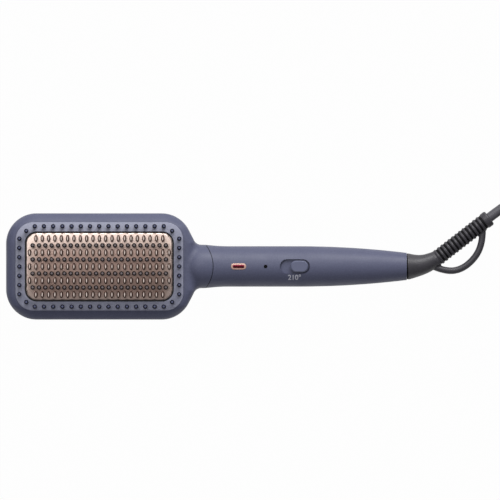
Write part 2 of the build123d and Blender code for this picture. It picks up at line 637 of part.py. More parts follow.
def heating_plate():
    """Crowned plate with a clamping flange, oval fins, round pins and bosses for the clamp."""
    half = PLATE_WIDTH / 2
    crown_r = (half ** 2 + PLATE_CROWN ** 2) / (2 * PLATE_CROWN)
    crown = rod(crown_r, HEAD_X - PLATE_LENGTH, HEAD_X + PLATE_LENGTH, z=PLATE_TOP + PLATE_CROWN - crown_r)
    body = crown & tray(PLATE_LENGTH, PLATE_WIDTH, PLATE_CORNER_R, PLATE_Z, PLATE_TOP + 2 * PLATE_CROWN)
    body = fillet(body.faces().sort_by(Axis.Z)[-1].edges(), PLATE_EDGE_R)
    body += tray(PLATE_LENGTH + 2 * FLANGE_REACH, PLATE_WIDTH + 2 * FLANGE_REACH,
                 PLATE_CORNER_R + FLANGE_REACH, PLATE_Z, FLANGE_TOP)
    for x, y in corners(BOSS_X, BOSS_Y):
        body += post(x, y, BOSS_R, CLAMP_Z + CLAMP_THICKNESS, PLATE_Z)
        body -= post(x, y, FINE_SCREW[2] + SNUG, CLAMP_Z, PLATE_Z + FLANGE_THICKNESS)
    one_fin = fin()
    one_pin = Pos(0, 0, PIN_HEIGHT / 2) * Cone(PIN_BASE_R, PIN_TOP_R, PIN_HEIGHT)
    fins = [Pos(x, y, PLATE_TOP) * one_fin for x, y in FIN_PLACES]
    pins = [Pos(x, y, PLATE_TOP) * one_pin for x, y in PIN_PLACES]
    return body + fins + pins


def bristle_tips():
    """Round cool tips, each seated flat on its pin."""
    ball = Pos(0, 0, TIP_BALL_R - TIP_SINK) * Sphere(TIP_BALL_R)
    ball -= block((4 * TIP_BALL_R, 4 * TIP_BALL_R, 2 * TIP_BALL_R), 0, 0, -2 * TIP_BALL_R)
    seat = PLATE_TOP + PIN_HEIGHT
    return Part() + [Pos(x, y, seat) * ball for x, y in PIN_PLACES]


def plate_gasket():
    """Soft seal: a flat base on the flange and a lip that fills the gap round the plate."""
    lip_top = RING_TOP - GASKET_TOP_DROP
    grow = GASKET_WIDTH - SNUG
    lip = tray(PLATE_LENGTH + 2 * grow, PLATE_WIDTH + 2 * grow, PLATE_CORNER_R + grow, FLANGE_TOP, lip_top)
    base = tray(PLATE_LENGTH + 2 * FLANGE_REACH, PLATE_WIDTH + 2 * FLANGE_REACH,
                PLATE_CORNER_R + FLANGE_REACH, FLANGE_TOP, POCKET_TOP)
    hole = tray(PLATE_LENGTH + 2 * SNUG, PLATE_WIDTH + 2 * SNUG, PLATE_CORNER_R + SNUG,
                FLANGE_TOP, 2 * HEAD_HEIGHT)
    return lip + base - hole


save("heating_plate", heating_plate())
save("bristle_tips", bristle_tips())
save("plate_gasket", plate_gasket())


# ---------------------------------------------------------------- heater under the plate
def heater_sheet(margin, z, tab_y=None):
    """A thin sheet over the chips, with a connecting tab where tab_y says."""
    size = (STACK_LENGTH + 2 * margin, CHIP_WIDTH + 2 * margin, SHEET_THICKNESS)
    sheet = block(size, HEAD_X, 0, z)
    if tab_y is not None:
        tab_x = HEAD_X + STACK_LENGTH / 2 + margin + TAB_LENGTH / 2 - SNUG
        sheet += block((TAB_LENGTH, TAB_WIDTH, SHEET_THICKNESS), tab_x, tab_y, z)
    return sheet


def ptc_heaters():
    """A row of ceramic chips between the two electrodes."""
    pitch = CHIP_LENGTH + CHIP_SPACE
    size = (CHIP_LENGTH, CHIP_WIDTH, CHIP_THICKNESS)
    places = [HEAD_X + (i - (CHIP_COUNT - 1) / 2) * pitch for i in range(CHIP_COUNT)]
    return Part() + [block(size, x, 0, CHIP_Z) for x in places]


def heater_clamp():
    """Pressed plate that holds the chips against the heating plate."""
    plate = block((CLAMP_LENGTH, CLAMP_WIDTH, CLAMP_THICKNESS), HEAD_X, 0, CLAMP_Z)
    notch_x = HEAD_X + CLAMP_LENGTH / 2 - CLAMP_NOTCH[0] / 2
    plate -= block((CLAMP_NOTCH[0], CLAMP_NOTCH[1], 2 * CLAMP_THICKNESS), notch_x, 0, CLAMP_Z)
    for x, y in corners(BOSS_X, BOSS_Y):
        plate -= post(x, y, FINE_SCREW[2] + SNUG, CLAMP_Z, CLAMP_Z + CLAMP_THICKNESS)
    return plate


def fuse_clip():
    """Bridge over the fuse with two feet on the clamp plate."""
    x = HEAD_X + FUSE_PLACE[0]
    y = FUSE_PLACE[1]
    axis_z = CLAMP_Z - FUSE_R - SEAT_GAP
    inner = FUSE_R + SEAT_GAP
    outer = inner + FUSE_CLIP_T
    length = FUSE_LENGTH / 2
    strap = rod(outer, x - length / 2, x + length / 2, y, axis_z)
    strap += block((length, 2 * outer, CLAMP_Z - axis_z), x, y, axis_z)
    strap += block((length, 2 * (outer + FUSE_CLIP_FOOT), FUSE_CLIP_T), x, y, CLAMP_Z - FUSE_CLIP_T)
    strap -= rod(inner, x - length, x + length, y, axis_z)
    strap -= block((2 * length, 2 * inner, CLAMP_Z - axis_z), x, y, axis_z)
    return strap & slab(x - length, x + length, 0, CLAMP_Z)


def thermal_fuse():
    """Small sealed cylinder with a bevel at each end."""
    x = HEAD_X + FUSE_PLACE[0]
    body = rod(FUSE_R, x - FUSE_LENGTH / 2, x + FUSE_LENGTH / 2, FUSE_PLACE[1], CLAMP_Z - FUSE_R - SEAT_GAP)
    ends = body.edges().filter_by(GeomType.CIRCLE)
    return chamfer(ends, FUSE_R / 4)


def plate_retainer():
    """Frame under the flange: it clamps plate and comb frame, and carries the head screws."""
    outer = COLLAR_OUT
    base = tray(SKIRT_LENGTH + 2 * outer, SKIRT_WIDTH + 2 * outer, SKIRT_CORNER_R + outer,
                RETAINER_Z, SKIRT_Z)
    base += tray(PLATE_LENGTH + 2 * FLANGE_REACH, PLATE_WIDTH + 2 * FLANGE_REACH,
                 PLATE_CORNER_R + FLANGE_REACH, SKIRT_Z, PLATE_Z)
    for x, y in corners(HEAD_SCREW_X, HEAD_SCREW_Y):
        base += post(x, y, HEAD_BOSS_R, AXIS_Z + PARTING_GAP / 2, RETAINER_Z)
        base -= post(x, y, CASE_SCREW[2] + SNUG, 0, HEAD_SCREW_SEAT + AXIS_Z)
    base -= tray(RETAINER_WINDOW[0], RETAINER_WINDOW[1], RETAINER_WINDOW_R, RETAINER_Z, PLATE_Z)
    for x, y in retainer_screw_places():
        base -= post(x, y, FINE_SCREW[2] + SNUG, RETAINER_Z, SKIRT_Z)
    return base


def heat_shield():
    """Sheet between the hot plate and the back cover."""
    sheet = tray(SHIELD_LENGTH, SHIELD_WIDTH, RETAINER_WINDOW_R, SHIELD_Z, SHIELD_Z + SHIELD_T)
    for x, y in corners(SHIELD_POST_X, SHIELD_POST_Y):
        sheet -= post(x, y, FINE_SCREW[2] + SNUG, SHIELD_Z, SHIELD_Z + SHIELD_T)
    return sheet


def shield_screws():
    """Screws through the shield into its posts, heads on the hot side."""
    top = SHIELD_Z + SHIELD_T
    driven_up = [screw(x, y, 0, FINE_SCREW, FINE_BITE) for x, y in corners(SHIELD_POST_X, SHIELD_POST_Y)]
    return Part() + [Pos(0, 0, top) * s.mirror(Plane.XY) for s in driven_up]


def head_screws():
    """Case screws from the back into the retainer's bosses."""
    return Part() + [screw(x, y, HEAD_SCREW_SEAT, CASE_SCREW, AXIS_Z)
                     for x, y in corners(HEAD_SCREW_X, HEAD_SCREW_Y)]


def screw_plugs():
    """Soft plugs that close the screw holes in the back."""
    plugs = []
    for x, y in corners(HEAD_SCREW_X, HEAD_SCREW_Y):
        plug = post(x, y, PLUG_R, PLUG_DROP, PLUG_DROP + PLUG_T)
        plugs.append(chamfer(plug.edges().sort_by(Axis.Z)[0], 0.3))
    return Part() + plugs


save("heater_insulation", Part() + [heater_sheet(SHEET_MARGIN, SHEET_TOP - SHEET_THICKNESS),
                                    heater_sheet(SHEET_MARGIN, LOWER_SHEET_Z)])
save("heater_electrodes", Part() + [heater_sheet(ELECTRODE_MARGIN, UPPER_ELECTRODE_Z, TAB_Y),
                                    heater_sheet(ELECTRODE_MARGIN, LOWER_ELECTRODE_Z, -TAB_Y)])
save("ptc_heaters", ptc_heaters())
save("heater_clamp", heater_clamp())
save("clamp_screws", Part() + [screw(x, y, CLAMP_Z, FINE_SCREW, FINE_BITE)
                               for x, y in corners(BOSS_X, BOSS_Y)])
save("thermal_fuse", thermal_fuse())
save("fuse_clip", fuse_clip())
save("temperature_sensor", fillet(block(SENSOR_SIZE, HEAD_X + SENSOR_PLACE[0], SENSOR_PLACE[1],
                                        CLAMP_Z - SENSOR_SIZE[2]).edges().filter_by(Axis.Z), 0.8))
save("plate_retainer", plate_retainer())
save("retainer_screws", Part() + [screw(x, y, RETAINER_Z, FINE_SCREW, FINE_BITE)
                                  for x, y in retainer_screw_places()])
save("heat_shield", heat_shield())
save("shield_screws", shield_screws())
save("head_screws", head_screws())
save("screw_plugs", screw_plugs())


# ---------------------------------------------------------------- handle shells
HANDLE_WALL = (barrel() - HANDLE_HOLLOW) - head_side(SEAM_GAP) - seam_lip(FIT)
HANDLE_WALL -= rod(BUSH_R + SNUG, COLLAR_X - 1, END_X + 1)
HANDLE_CORE = barrel(WALL / 2) - head_side(SEAM_GAP)


def handle_front_shell():
    """Top of the handle: ion outlet, indicator hole and the switch's recess."""
    shell = HANDLE_WALL
    shell += stadium(RECESS, SWITCH_X, PAD_Z, AXIS_Z + HANDLE_R - 1, PAD_WALL) & HANDLE_CORE
    shell += post(TAIL_SCREW_X, 0, HEAD_BOSS_R, AXIS_Z, AXIS_Z + HANDLE_R) & HANDLE_CORE
    for place in PILLAR_PLACES:
        shell += post(BOARD_X + place, 0, PILLAR_R, BOARD_TOP, AXIS_Z + HANDLE_R) & HANDLE_CORE
    shell -= stadium(RECESS, SWITCH_X, RECESS_Z, 2 * HEAD_HEIGHT)
    slot = (STEM[0] + KNOB_TRAVEL + 2 * SLIDE_GAP, STEM[1] + 2 * SLIDE_GAP, 2 * PAD_WALL)
    shell -= block(slot, SLOT_X, 0, PAD_Z - PAD_WALL / 2)
    shell -= stadium(ION_RIM, ION_X, AXIS_Z + INNER_R / 2, 2 * HEAD_HEIGHT, SNUG)
    shell -= post(LED_X, 0, LED_R + SNUG, AXIS_Z + INNER_R / 2, 2 * HEAD_HEIGHT)
    shell -= post(TAIL_SCREW_X, 0, CASE_SCREW[2] + SNUG, AXIS_Z, AXIS_Z + CASE_BITE)
    return shell & FRONT


def back_screw_seat(x):
    """Height of a case screw's seat in the wall under the handle."""
    taper = max(0.0, x - TAPER_X)
    drop = HANDLE_R - HANDLE_END_R
    arc_r = (TAPER_LENGTH ** 2 + drop ** 2) / (2 * drop)
    radius = HANDLE_R - (arc_r - math.sqrt(arc_r ** 2 - taper ** 2))
    return AXIS_Z - radius + CASE_SCREW[1] + FIT


def handle_back_shell():
    """Underside of the handle, with ribs under the board and two recessed screws."""
    shell = HANDLE_WALL
    for place in RIB_PLACES:
        rib = slab(BOARD_X + place - RIB_T / 2, BOARD_X + place + RIB_T / 2, 0, BOARD_Z)
        shell += rib & HANDLE_CORE
    shell += post(TAIL_SCREW_X, 0, HEAD_BOSS_R, 0, AXIS_Z) & HANDLE_CORE
    for x in (NECK_SCREW_X, TAIL_SCREW_X):
        shell -= post(x, 0, CASE_SCREW[0] + FIT, -1, back_screw_seat(x))
        shell -= post(x, 0, CASE_SCREW[2] + SNUG, 0, AXIS_Z)
    shell = (shell & BACK) + board_rib_tops()
    return shell - rod(2 * WIRE_R, BOARD_X, BOARD_X + MODULE_PLACE, 0, ION_LEAD_Z)


def board_rib_tops():
    """The ribs reach past the parting line up to the board."""
    tops = []
    for place in RIB_PLACES:
        rib = slab(BOARD_X + place - RIB_T / 2, BOARD_X + place + RIB_T / 2, AXIS_Z / 2, BOARD_Z)
        tops.append(rib & barrel(WALL + FIT))
    return tops


def handle_screws():
    """The two case screws under the handle, at the neck and near the cord."""
    return Part() + [screw(x, 0, back_screw_seat(x), CASE_SCREW, AXIS_Z + 4 - back_screw_seat(x))
                     for x in (NECK_SCREW_X, TAIL_SCREW_X)]


save("handle_front_shell", handle_front_shell())
save("handle_back_shell", handle_back_shell())
save("handle_screws", handle_screws())


# ---------------------------------------------------------------- ion outlet, indicator and switch
def ion_outlet_rim():
    """Metal-look rim that follows the handle's round top."""
    low = AXIS_Z + HANDLE_R - ION_DEPTH
    rim = stadium(ION_RIM, ION_X, low, 2 * HEAD_HEIGHT) & barrel(-ION_PROUD)
    return rim - stadium(ION_MOUTH, ION_X, low, 2 * HEAD_HEIGHT)


def ion_needle_holder():
    """Insulating block that closes the outlet from below."""
    top = AXIS_Z + HANDLE_R - ION_DEPTH
    return block(ION_HOLDER, ION_X, 0, top - ION_HOLDER[2])


def ion_needles():
    """Two fine needles that stand on the holder inside the outlet."""
    low = AXIS_Z + HANDLE_R - ION_DEPTH
    needles = []
    for side in (-1, 1):
        x = ION_X + side * ION_NEEDLE_SPACING / 2
        needles.append(Pos(x, 0, low + ION_NEEDLE_LENGTH / 2) * Cone(ION_NEEDLE_R, SNUG, ION_NEEDLE_LENGTH))
    return Part() + needles


def led_lens():
    """Light pipe from the lamp to the handle's surface."""
    low = BOARD_TOP + LED_BODY[2] + SEAT_GAP
    return post(LED_X, 0, LED_R, low, 2 * HEAD_HEIGHT) & barrel(SNUG)


def switch_knob():
    """Knob with bevelled edges and a stem through the recess floor."""
    cap = stadium(KNOB, KNOB_X, KNOB_Z, KNOB_TOP)
    cap = chamfer(cap.faces().sort_by(Axis.Z)[-1].edges(), KNOB_BEVEL)
    return cap + block((STEM[0], STEM[1], KNOB_Z - SLIDER_TOP), STEM_X, 0, SLIDER_TOP)


def switch_slider():
    """Keeper under the recess floor, with a tip in the switch's groove."""
    keeper = block(SLIDER, STEM_X, 0, SLIDER_Z)
    return keeper + block(SLIDER_TIP, STEM_X, 0, SLIDER_Z - SLIDER_TIP[2])


def slide_switch_body():
    """Switch on the board with a groove for the slider's tip."""
    body = block(SWITCH_BODY, SWITCH_X, 0, BOARD_TOP)
    groove = (SLIDER_TIP[0] + KNOB_TRAVEL + 2 * SLIDE_GAP, SLIDER_TIP[1] + 2 * SLIDE_GAP, SWITCH_BODY[2])
    return body - block(groove, SLOT_X, 0, SWITCH_TOP - SWITCH_GROOVE_DEPTH)


save("ion_outlet_rim", ion_outlet_rim())
save("ion_needle_holder", ion_needle_holder())
save("ion_needles", ion_needles())
save("led_lens", led_lens())
save("indicator_led", block(LED_BODY, LED_X, 0, BOARD_TOP))
save("switch_knob", switch_knob())
save("switch_slider", switch_slider())
save("slide_switch_body", slide_switch_body())


# ---------------------------------------------------------------- control board and wiring
def control_board():
    """Board on the back shell's ribs."""
    board = block((BOARD_LENGTH, BOARD_WIDTH, BOARD_T), BOARD_X + BOARD_LENGTH / 2, 0, BOARD_Z)
    return fillet(board.edges().filter_by(Axis.Z), 1.5)


def board_parts(size, place, z):
    """A component centred on the board at a distance from its neck end."""
    return block(size, BOARD_X + place, 0, z)


def ion_module():
    """Potted high-voltage block in the round of the back shell, under the board."""
    half = MODULE[1] / 2
    low = AXIS_Z - math.sqrt((HANDLE_R - WALL) ** 2 - half ** 2) + SEAT_GAP
    return board_parts(MODULE, MODULE_PLACE, low)


def triac():
    """Flat package with a metal tab, hanging under the board."""
    body = board_parts(TRIAC, TRIAC_PLACE, BOARD_Z - TRIAC[2])
    tab = (TRIAC[0], TRIAC[1] / 4, TRIAC[2] / 2)
    return body + Pos(0, -TRIAC[1] * 3 / 8, -TRIAC[2]) * board_parts(tab, TRIAC_PLACE, BOARD_Z - TRIAC[2] / 2)


def heater_leads():
    """Two wires from the electrodes' tabs through the neck to the board."""
    tab_x = HEAD_X + STACK_LENGTH / 2 + ELECTRODE_MARGIN + TAB_LENGTH - WIRE_R - SNUG
    run_z = BOARD_TOP + WIRE_R + SEAT_GAP
    end_x = BOARD_X + TERMINAL_PLACES[0] - TERMINAL[0] / 2
    wires = []
    for side, tab_z in ((1, UPPER_ELECTRODE_Z), (-1, LOWER_ELECTRODE_Z)):
        y = side * TAB_Y
        bend = min(WIRE_BEND, BEND_SHARE * (tab_z - run_z))
        wires.append(wire([(tab_x, y, tab_z), (tab_x, y, run_z), (end_x, y, run_z)], bend=bend))
    return Part() + wires


def ion_lead():
    """Thin wire from the ion module, past the board's end, to the needle holder."""
    x_low = BOARD_X + MODULE_PLACE - MODULE[0] / 2
    x_up = ION_X + ION_HOLDER[0] / 2 - 2.0
    z_up = AXIS_Z + HANDLE_R - ION_DEPTH - ION_HOLDER[2]
    return wire([(x_low, 0, ION_LEAD_Z), (x_up, 0, ION_LEAD_Z), (x_up, 0, z_up)], ION_WIRE_R)


def supply_wires():
    """Two wires from the contact carrier to the board's mains terminal."""
    end_x = BOARD_X + TERMINAL_PLACES[1] + TERMINAL[0] / 2
    z_high = LEAF_Z + LEAF_T + CARRIER[2] / 2
    z_low = BOARD_TOP + TERMINAL[2] / 2
    wires = []
    for side in (-1, 1):
        route = [(CARRIER_X, side * 4.0, z_high), (CARRIER_X - 4.0, side * 4.0, z_high),
                 (end_x + 3.0, side * 5.4, z_low), (end_x, side * 5.4, z_low)]
        wires.append(wire(route, bend=1.5))
    return Part() + wires


save("control_board", control_board())
save("ion_module", ion_module())
save("mains_capacitor", fillet(board_parts(CAPACITOR, CAPACITOR_PLACE, BOARD_Z - CAPACITOR[2]).edges(), 0.8))
save("triac", triac())
save("board_chip", board_parts(CHIP_SIZE, CHIP_PLACE, BOARD_TOP))
save("terminal_blocks", Part() + [board_parts(TERMINAL, place, BOARD_TOP) for place in TERMINAL_PLACES])
save("heater_leads", heater_leads())
save("ion_lead", ion_lead())
save("supply_wires", supply_wires())


# ---------------------------------------------------------------- swivel at the cord end
def swivel_bush():
    """Flanged bearing held in the handle's solid end."""
    sleeve = rod(BUSH_R, BUSH_X, END_X - FIT)
    flange = rod(BUSH_FLANGE_R, BUSH_X - FLANGE_T, BUSH_X)
    return sleeve + flange - rod(JOURNAL_R + RUN_GAP, BUSH_X - FLANGE_T, END_X)


def swivel_journal():
    """Turning shaft with an inner flange that stops it pulling out."""
    return rod(JOURNAL_R, JOURNAL_STOP_X, END_X) + rod(JOURNAL_FLANGE_R, HUB_END, JOURNAL_STOP_X)


def slip_rings():
    """Two brass rings on the hub."""
    rings = [rod(RING_R, x - RING_T / 2, x + RING_T / 2) - rod(HUB_R, x - RING_T, x + RING_T)
             for x in RING_XS]
    return Part() + rings


def contact_springs():
    """A leaf over each slip ring, a hair's breadth off it."""
    return Part() + [block((LEAF_WIDTH, CARRIER[1], LEAF_T), x, 0, LEAF_Z) for x in RING_XS]


def contact_carrier():
    """Block in the round of the front shell that holds the leaves."""
    return block(CARRIER, CARRIER_X + CARRIER[0] / 2, 0, LEAF_Z + LEAF_T) & barrel(WALL + SEAT_GAP)


save("swivel_bush", swivel_bush())
save("swivel_journal", swivel_journal())
save("slip_ring_hub", rod(HUB_R, HUB_START, HUB_END))
save("slip_rings", slip_rings())
save("contact_springs", contact_springs())
save("contact_carrier", contact_carrier())


# ---------------------------------------------------------------- cord guard
def guard_direction():
    """Unit direction of the guard's straight sleeve, in plan."""
    dx = GUARD_END[0] - GUARD_START[0]
    dy = GUARD_END[1] - GUARD_START[1]
    length = math.hypot(dx, dy)
    return dx / length, dy / length, length


def boot():
    """Boot that narrows from the handle's end and bends into the sleeve."""
    sections = []
    angles = (0, 5, 14, 26, 37.9)
    for (dx, dy, radius), angle in zip(BOOT_STEPS, angles):
        heading = (math.cos(math.radians(angle)), math.sin(math.radians(angle)), 0)
        sections.append(Plane(origin=(END_X + dx, dy, AXIS_Z), z_dir=heading) * Circle(radius))
    groove = rod(BOOT_STEPS[0][2] - GROOVE_DEPTH, END_X + FIT, END_X + END_GAP)
    return loft(sections) + groove + rod(JOURNAL_R, END_X, END_X + END_GAP)


def sleeve():
    """Ribbed sleeve with slots in its sides, so that it bends in plan, and a plain ring at its end."""
    ux, uy, length = guard_direction()
    base = Plane(origin=(END_X + GUARD_START[0], GUARD_START[1], AXIS_Z), x_dir=(0, 0, 1), z_dir=(ux, uy, 0))
    web = Circle(WEB_R) & Rectangle(2 * WEB_R, WEB_WIDTH)
    core = extrude(Circle(GUARD_CORE_R) + web, length)
    first = length - END_RING - RIB_COUNT * RIB_PITCH
    for i in range(RIB_COUNT):
        core += Pos(0, 0, first + i * RIB_PITCH) * extrude(Circle(RIB_R), RIB_WIDTH)
    core += Pos(0, 0, length - END_RING) * extrude(Circle(RIB_R), END_RING)
    return base * core


def hanging_loop():
    """Flat-sided band from the boot to the sleeve's end."""
    points = [(END_X + dx, dy, AXIS_Z) for dx, dy in LOOP_PATH]
    path = FilletPolyline(*points, radius=LOOP_RADII)
    band = Plane(origin=path @ 0, x_dir=(0, 0, 1), z_dir=path % 0)
    return sweep(band * RectangleRounded(LOOP_BAND[1], LOOP_BAND[0], LOOP_BAND_R), path=path)


save("cord_guard", (boot() + sleeve() + hanging_loop()).solids()[0])


# ---------------------------------------------------------------- mains cord, coil and plug
EXIT = (END_X + GUARD_END[0], GUARD_END[1], AXIS_Z)
COIL_X = END_X + COIL_CENTRE[0]
COIL_Y = COIL_CENTRE[1]
CORD_D = 2 * CORD_R
COIL_OUT_R = COIL_MID_R + COIL_WIDE * CORD_R
COIL_IN_R = COIL_MID_R - COIL_WIDE * CORD_R
COIL_TOP = COIL_HIGH * CORD_D


def cord_tube(name, points):
    """A round tube of straight runs and tangent arcs as large as the runs allow, and its length."""
    vectors = [Vector(*p) for p in points]
    runs = [b - a for a, b in zip(vectors, vectors[1:])]
    radii = []
    for before, after in zip(runs, runs[1:]):
        half_turn = math.radians(before.get_angle(after)) / 2
        radii.append(0.45 * min(before.length, after.length) / math.tan(half_turn))
    print(name, "radii", [round(r, 1) for r in radii])
    path = FilletPolyline(*points, radius=radii)
    tube = sweep(Plane(origin=path @ 0, z_dir=path % 0) * Circle(CORD_R), path=path)
    expected = math.pi * CORD_R ** 2 * path.length
    print(name, "length", round(path.length, 1), "volume over section times length",
          round(tube.volume / expected, 4))
    return tube, path.length


def lead_points():
    """From the guard's end down to the floor and on to the coil's outer turn."""
    route = [EXIT] + [(EXIT[0] + dx, EXIT[1] + dy, EXIT[2] + dz) for dx, dy, dz in LEAD_ROUTE]
    return route + [(COIL_X, COIL_Y + COIL_OUT_R - CORD_R, CORD_R)]


def tail_points():
    """Off the coil's upper outer turn, clockwise and a little inwards, up on to the coil."""
    shift = COIL_OUT_R - CORD_R - TAIL_CURL_R
    start = math.radians(TAIL_START)
    centre = (COIL_X + shift * math.cos(start), COIL_Y + shift * math.sin(start))
    reach = TAIL_CURL_R / math.cos(math.radians(TAIL_TURN / 2))
    climb = CORD_R + BODY_HIGH / 2
    points = []
    for i, share in enumerate(TAIL_RISES):
        angle = math.radians(TAIL_START - (i + 0.5) * TAIL_TURN)
        x = centre[0] + reach * math.cos(angle)
        y = centre[1] + reach * math.sin(angle)
        points.append((x, y, COIL_TOP - CORD_R + share * climb))
    return points


def cord_tie():
    """Band round the bundle, on the side that faces the brush."""
    grow = TIE_T
    outer = post(COIL_X, COIL_Y, COIL_OUT_R + grow, 0, COIL_TOP + grow)
    outer -= post(COIL_X, COIL_Y, COIL_IN_R - grow, 0, COIL_TOP + grow)
    inner = post(COIL_X, COIL_Y, COIL_OUT_R, grow, COIL_TOP)
    inner -= post(COIL_X, COIL_Y, COIL_IN_R, grow, COIL_TOP)
    window = block((2 * COIL_OUT_R, TIE_WIDTH, 2 * COIL_TOP), COIL_X - COIL_OUT_R, COIL_Y, 0)
    return (outer - inner) & window


def cord_coil():
    """Outer shape of the wound turns."""
    ring = post(COIL_X, COIL_Y, COIL_OUT_R, 0, COIL_TOP)
    ring -= post(COIL_X, COIL_Y, COIL_IN_R, 0, COIL_TOP)
    return ring - cord_tie()


def plug_plane():
    """Frame at the cord's end: its Z runs along the plug, its X lies flat."""
    last = tail_points()[-1]
    before = tail_points()[-2]
    heading = Vector(last[0] - before[0], last[1] - before[1], 0).normalized()
    return Plane(origin=last, x_dir=(-heading.Y, heading.X, 0), z_dir=(heading.X, heading.Y, 0))


def plug_body():
    """Flat two-pin plug: a tapered relief, a grip and a flat body."""
    relief = loft([Circle(RELIEF_R[1]), Pos(0, 0, RELIEF_LENGTH) * Circle(RELIEF_R[0])])
    block = RectangleRounded(BODY_WIDE, BODY_HIGH, BODY_NOSE_R)
    grip_start = Pos(0, 0, RELIEF_LENGTH)
    grip_end = Pos(0, 0, RELIEF_LENGTH + GRIP_LENGTH)
    grip = loft([grip_start * RectangleRounded(GRIP_SIZE[0], GRIP_SIZE[1], GRIP_CORNER_R), grip_end * block])
    nose = grip_end * extrude(block, BODY_LENGTH)
    nose = fillet(nose.faces().sort_by(Axis.Z)[-1].edges(), NOSE_EDGE_R)
    return plug_plane() * (relief + grip + nose)


def plug_pins():
    """Two round pins with domed ends."""
    start = RELIEF_LENGTH + GRIP_LENGTH + BODY_LENGTH
    pin = Pos(0, 0, start) * extrude(Circle(PRONG_R), PRONG_LENGTH)
    pin = fillet(pin.edges().sort_by(Axis.Z)[-1], PRONG_R * 0.7)
    pins = [Pos(side * PRONG_SPACING / 2, 0, 0) * pin for side in (-1, 1)]
    return plug_plane() * (Part() + pins)


LEAD, LEAD_LENGTH = cord_tube("cord_lead", lead_points())
TAIL, TAIL_LENGTH = cord_tube("cord_tail", tail_points())
save("cord_lead", LEAD)
save("cord_tail", TAIL)
save("cord_coil", cord_coil())
save("cord_tie", cord_tie())
save("plug_body", plug_body())
save("plug_pins", plug_pins())
print("coil turns", round((CORD_LENGTH - LEAD_LENGTH - TAIL_LENGTH) / (2 * math.pi * COIL_MID_R), 2))
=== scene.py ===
"""Dresses the heated paddle straightening brush: stage, camera, light, finishes, detail pieces."""
from __future__ import annotations

import logging
import math
from dataclasses import dataclass
from enum import Enum
from typing import Any, Iterable, Sequence

import bmesh
import bpy
from mathutils import Matrix, Vector
from mathutils.bvhtree import BVHTree

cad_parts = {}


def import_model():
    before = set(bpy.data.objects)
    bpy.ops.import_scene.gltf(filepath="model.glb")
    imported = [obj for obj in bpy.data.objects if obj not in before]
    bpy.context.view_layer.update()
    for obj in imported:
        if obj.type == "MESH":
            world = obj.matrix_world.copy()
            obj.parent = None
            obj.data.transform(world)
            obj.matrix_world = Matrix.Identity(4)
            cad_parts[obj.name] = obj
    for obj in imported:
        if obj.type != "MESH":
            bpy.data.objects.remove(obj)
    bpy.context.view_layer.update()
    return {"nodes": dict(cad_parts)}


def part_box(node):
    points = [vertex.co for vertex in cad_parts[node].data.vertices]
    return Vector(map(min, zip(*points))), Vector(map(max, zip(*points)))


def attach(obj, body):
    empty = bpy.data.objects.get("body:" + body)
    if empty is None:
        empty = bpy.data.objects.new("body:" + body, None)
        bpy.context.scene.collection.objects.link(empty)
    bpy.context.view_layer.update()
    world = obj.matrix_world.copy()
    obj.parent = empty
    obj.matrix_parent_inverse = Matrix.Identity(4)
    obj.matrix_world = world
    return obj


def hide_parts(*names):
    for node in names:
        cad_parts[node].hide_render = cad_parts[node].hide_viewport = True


LOG = logging.getLogger("brush")

Point = tuple[float, float, float]
Pair = tuple[float, float]
Piece = bpy.types.Object
Nodes = dict[str, Piece]
Mesh = bmesh.types.BMesh
Tree = bpy.types.NodeTree
Socket = bpy.types.NodeSocket

MM = 0.001
# Faces across a small rounding, and round a disc.
EDGE_STEPS = 3
DISC_STEPS = 56
# Points of a bar that lie closer than this are joined, in millimetres.
WELD = 0.01
# A face looks along an axis where its normal has more than this share of it.
FACING = 0.9
# Where most values of a noise lie, and the heights of the grain between which specks come in.
NOISE_SPAN = (0.3, 0.7)
SPECK_SPAN = (0.42, 0.68)


class Body(str, Enum):
    """The bodies that the pieces made here ride on."""

    BRUSH = "brush"
    CORD_SET = "cord_set"


# ---- helpers for materials
def linear(hex_colour: str) -> tuple[float, float, float, float]:
    """Turn an sRGB hex value into linear RGBA.

    Args:
        hex_colour: Six hex digits.

    Returns:
        The linear colour with an alpha of 1.
    """
    parts = [int(hex_colour[i:i + 2], 16) / 255 for i in (0, 2, 4)]
    curve = [p / 12.92 if p <= 0.04045 else ((p + 0.055) / 1.055) ** 2.4 for p in parts]
    return curve[0], curve[1], curve[2], 1.0


def cleared_tree(data: bpy.types.Material | bpy.types.World) -> Tree:
    """The node tree of a material or a world, emptied."""
    data.use_nodes = True
    data.node_tree.nodes.clear()
    return data.node_tree


def add_node(tree: Tree, kind: str, sockets: dict[Any, Any] | None = None,
             **settings: Any) -> bpy.types.Node:
    """Add one shader node with its settings and links.

    Args:
        tree: The node tree that gets the node.
        kind: The node's Blender type.
        sockets: Input name or index to a value, or to another node's output.
        **settings: Properties of the node itself.

    Returns:
        The new node.
    """
    node = tree.nodes.new(kind)
    for key, value in settings.items():
        setattr(node, key, value)
    for key, value in (sockets or {}).items():
        if isinstance(value, Socket):
            tree.links.new(value, node.inputs[key])
        else:
            node.inputs[key].default_value = value
    return node


def calculate(tree: Tree, operation: str, *values: float | Socket) -> Socket:
    """Result of one math operation on one or two numbers or other nodes' outputs."""
    return add_node(tree, "ShaderNodeMath", dict(enumerate(values)),
                    operation=operation).outputs[0]


def ramp(tree: Tree, value: Socket, low: float, high: float, to: Pair = (0.0, 1.0),
         **settings: Any) -> Socket:
    """Carry a value over from one range to another, and hold it at both ends.

    Args:
        tree: The node tree that gets the node.
        value: The value.
        low: Where the new range starts.
        high: Where the new range is full.
        to: The new range.
        **settings: Properties of the node itself.

    Returns:
        The new value.
    """
    return add_node(tree, "ShaderNodeMapRange",
                    {"Value": value, "From Min": low, "From Max": high,
                     "To Min": to[0], "To Max": to[1]}, **settings).outputs["Result"]


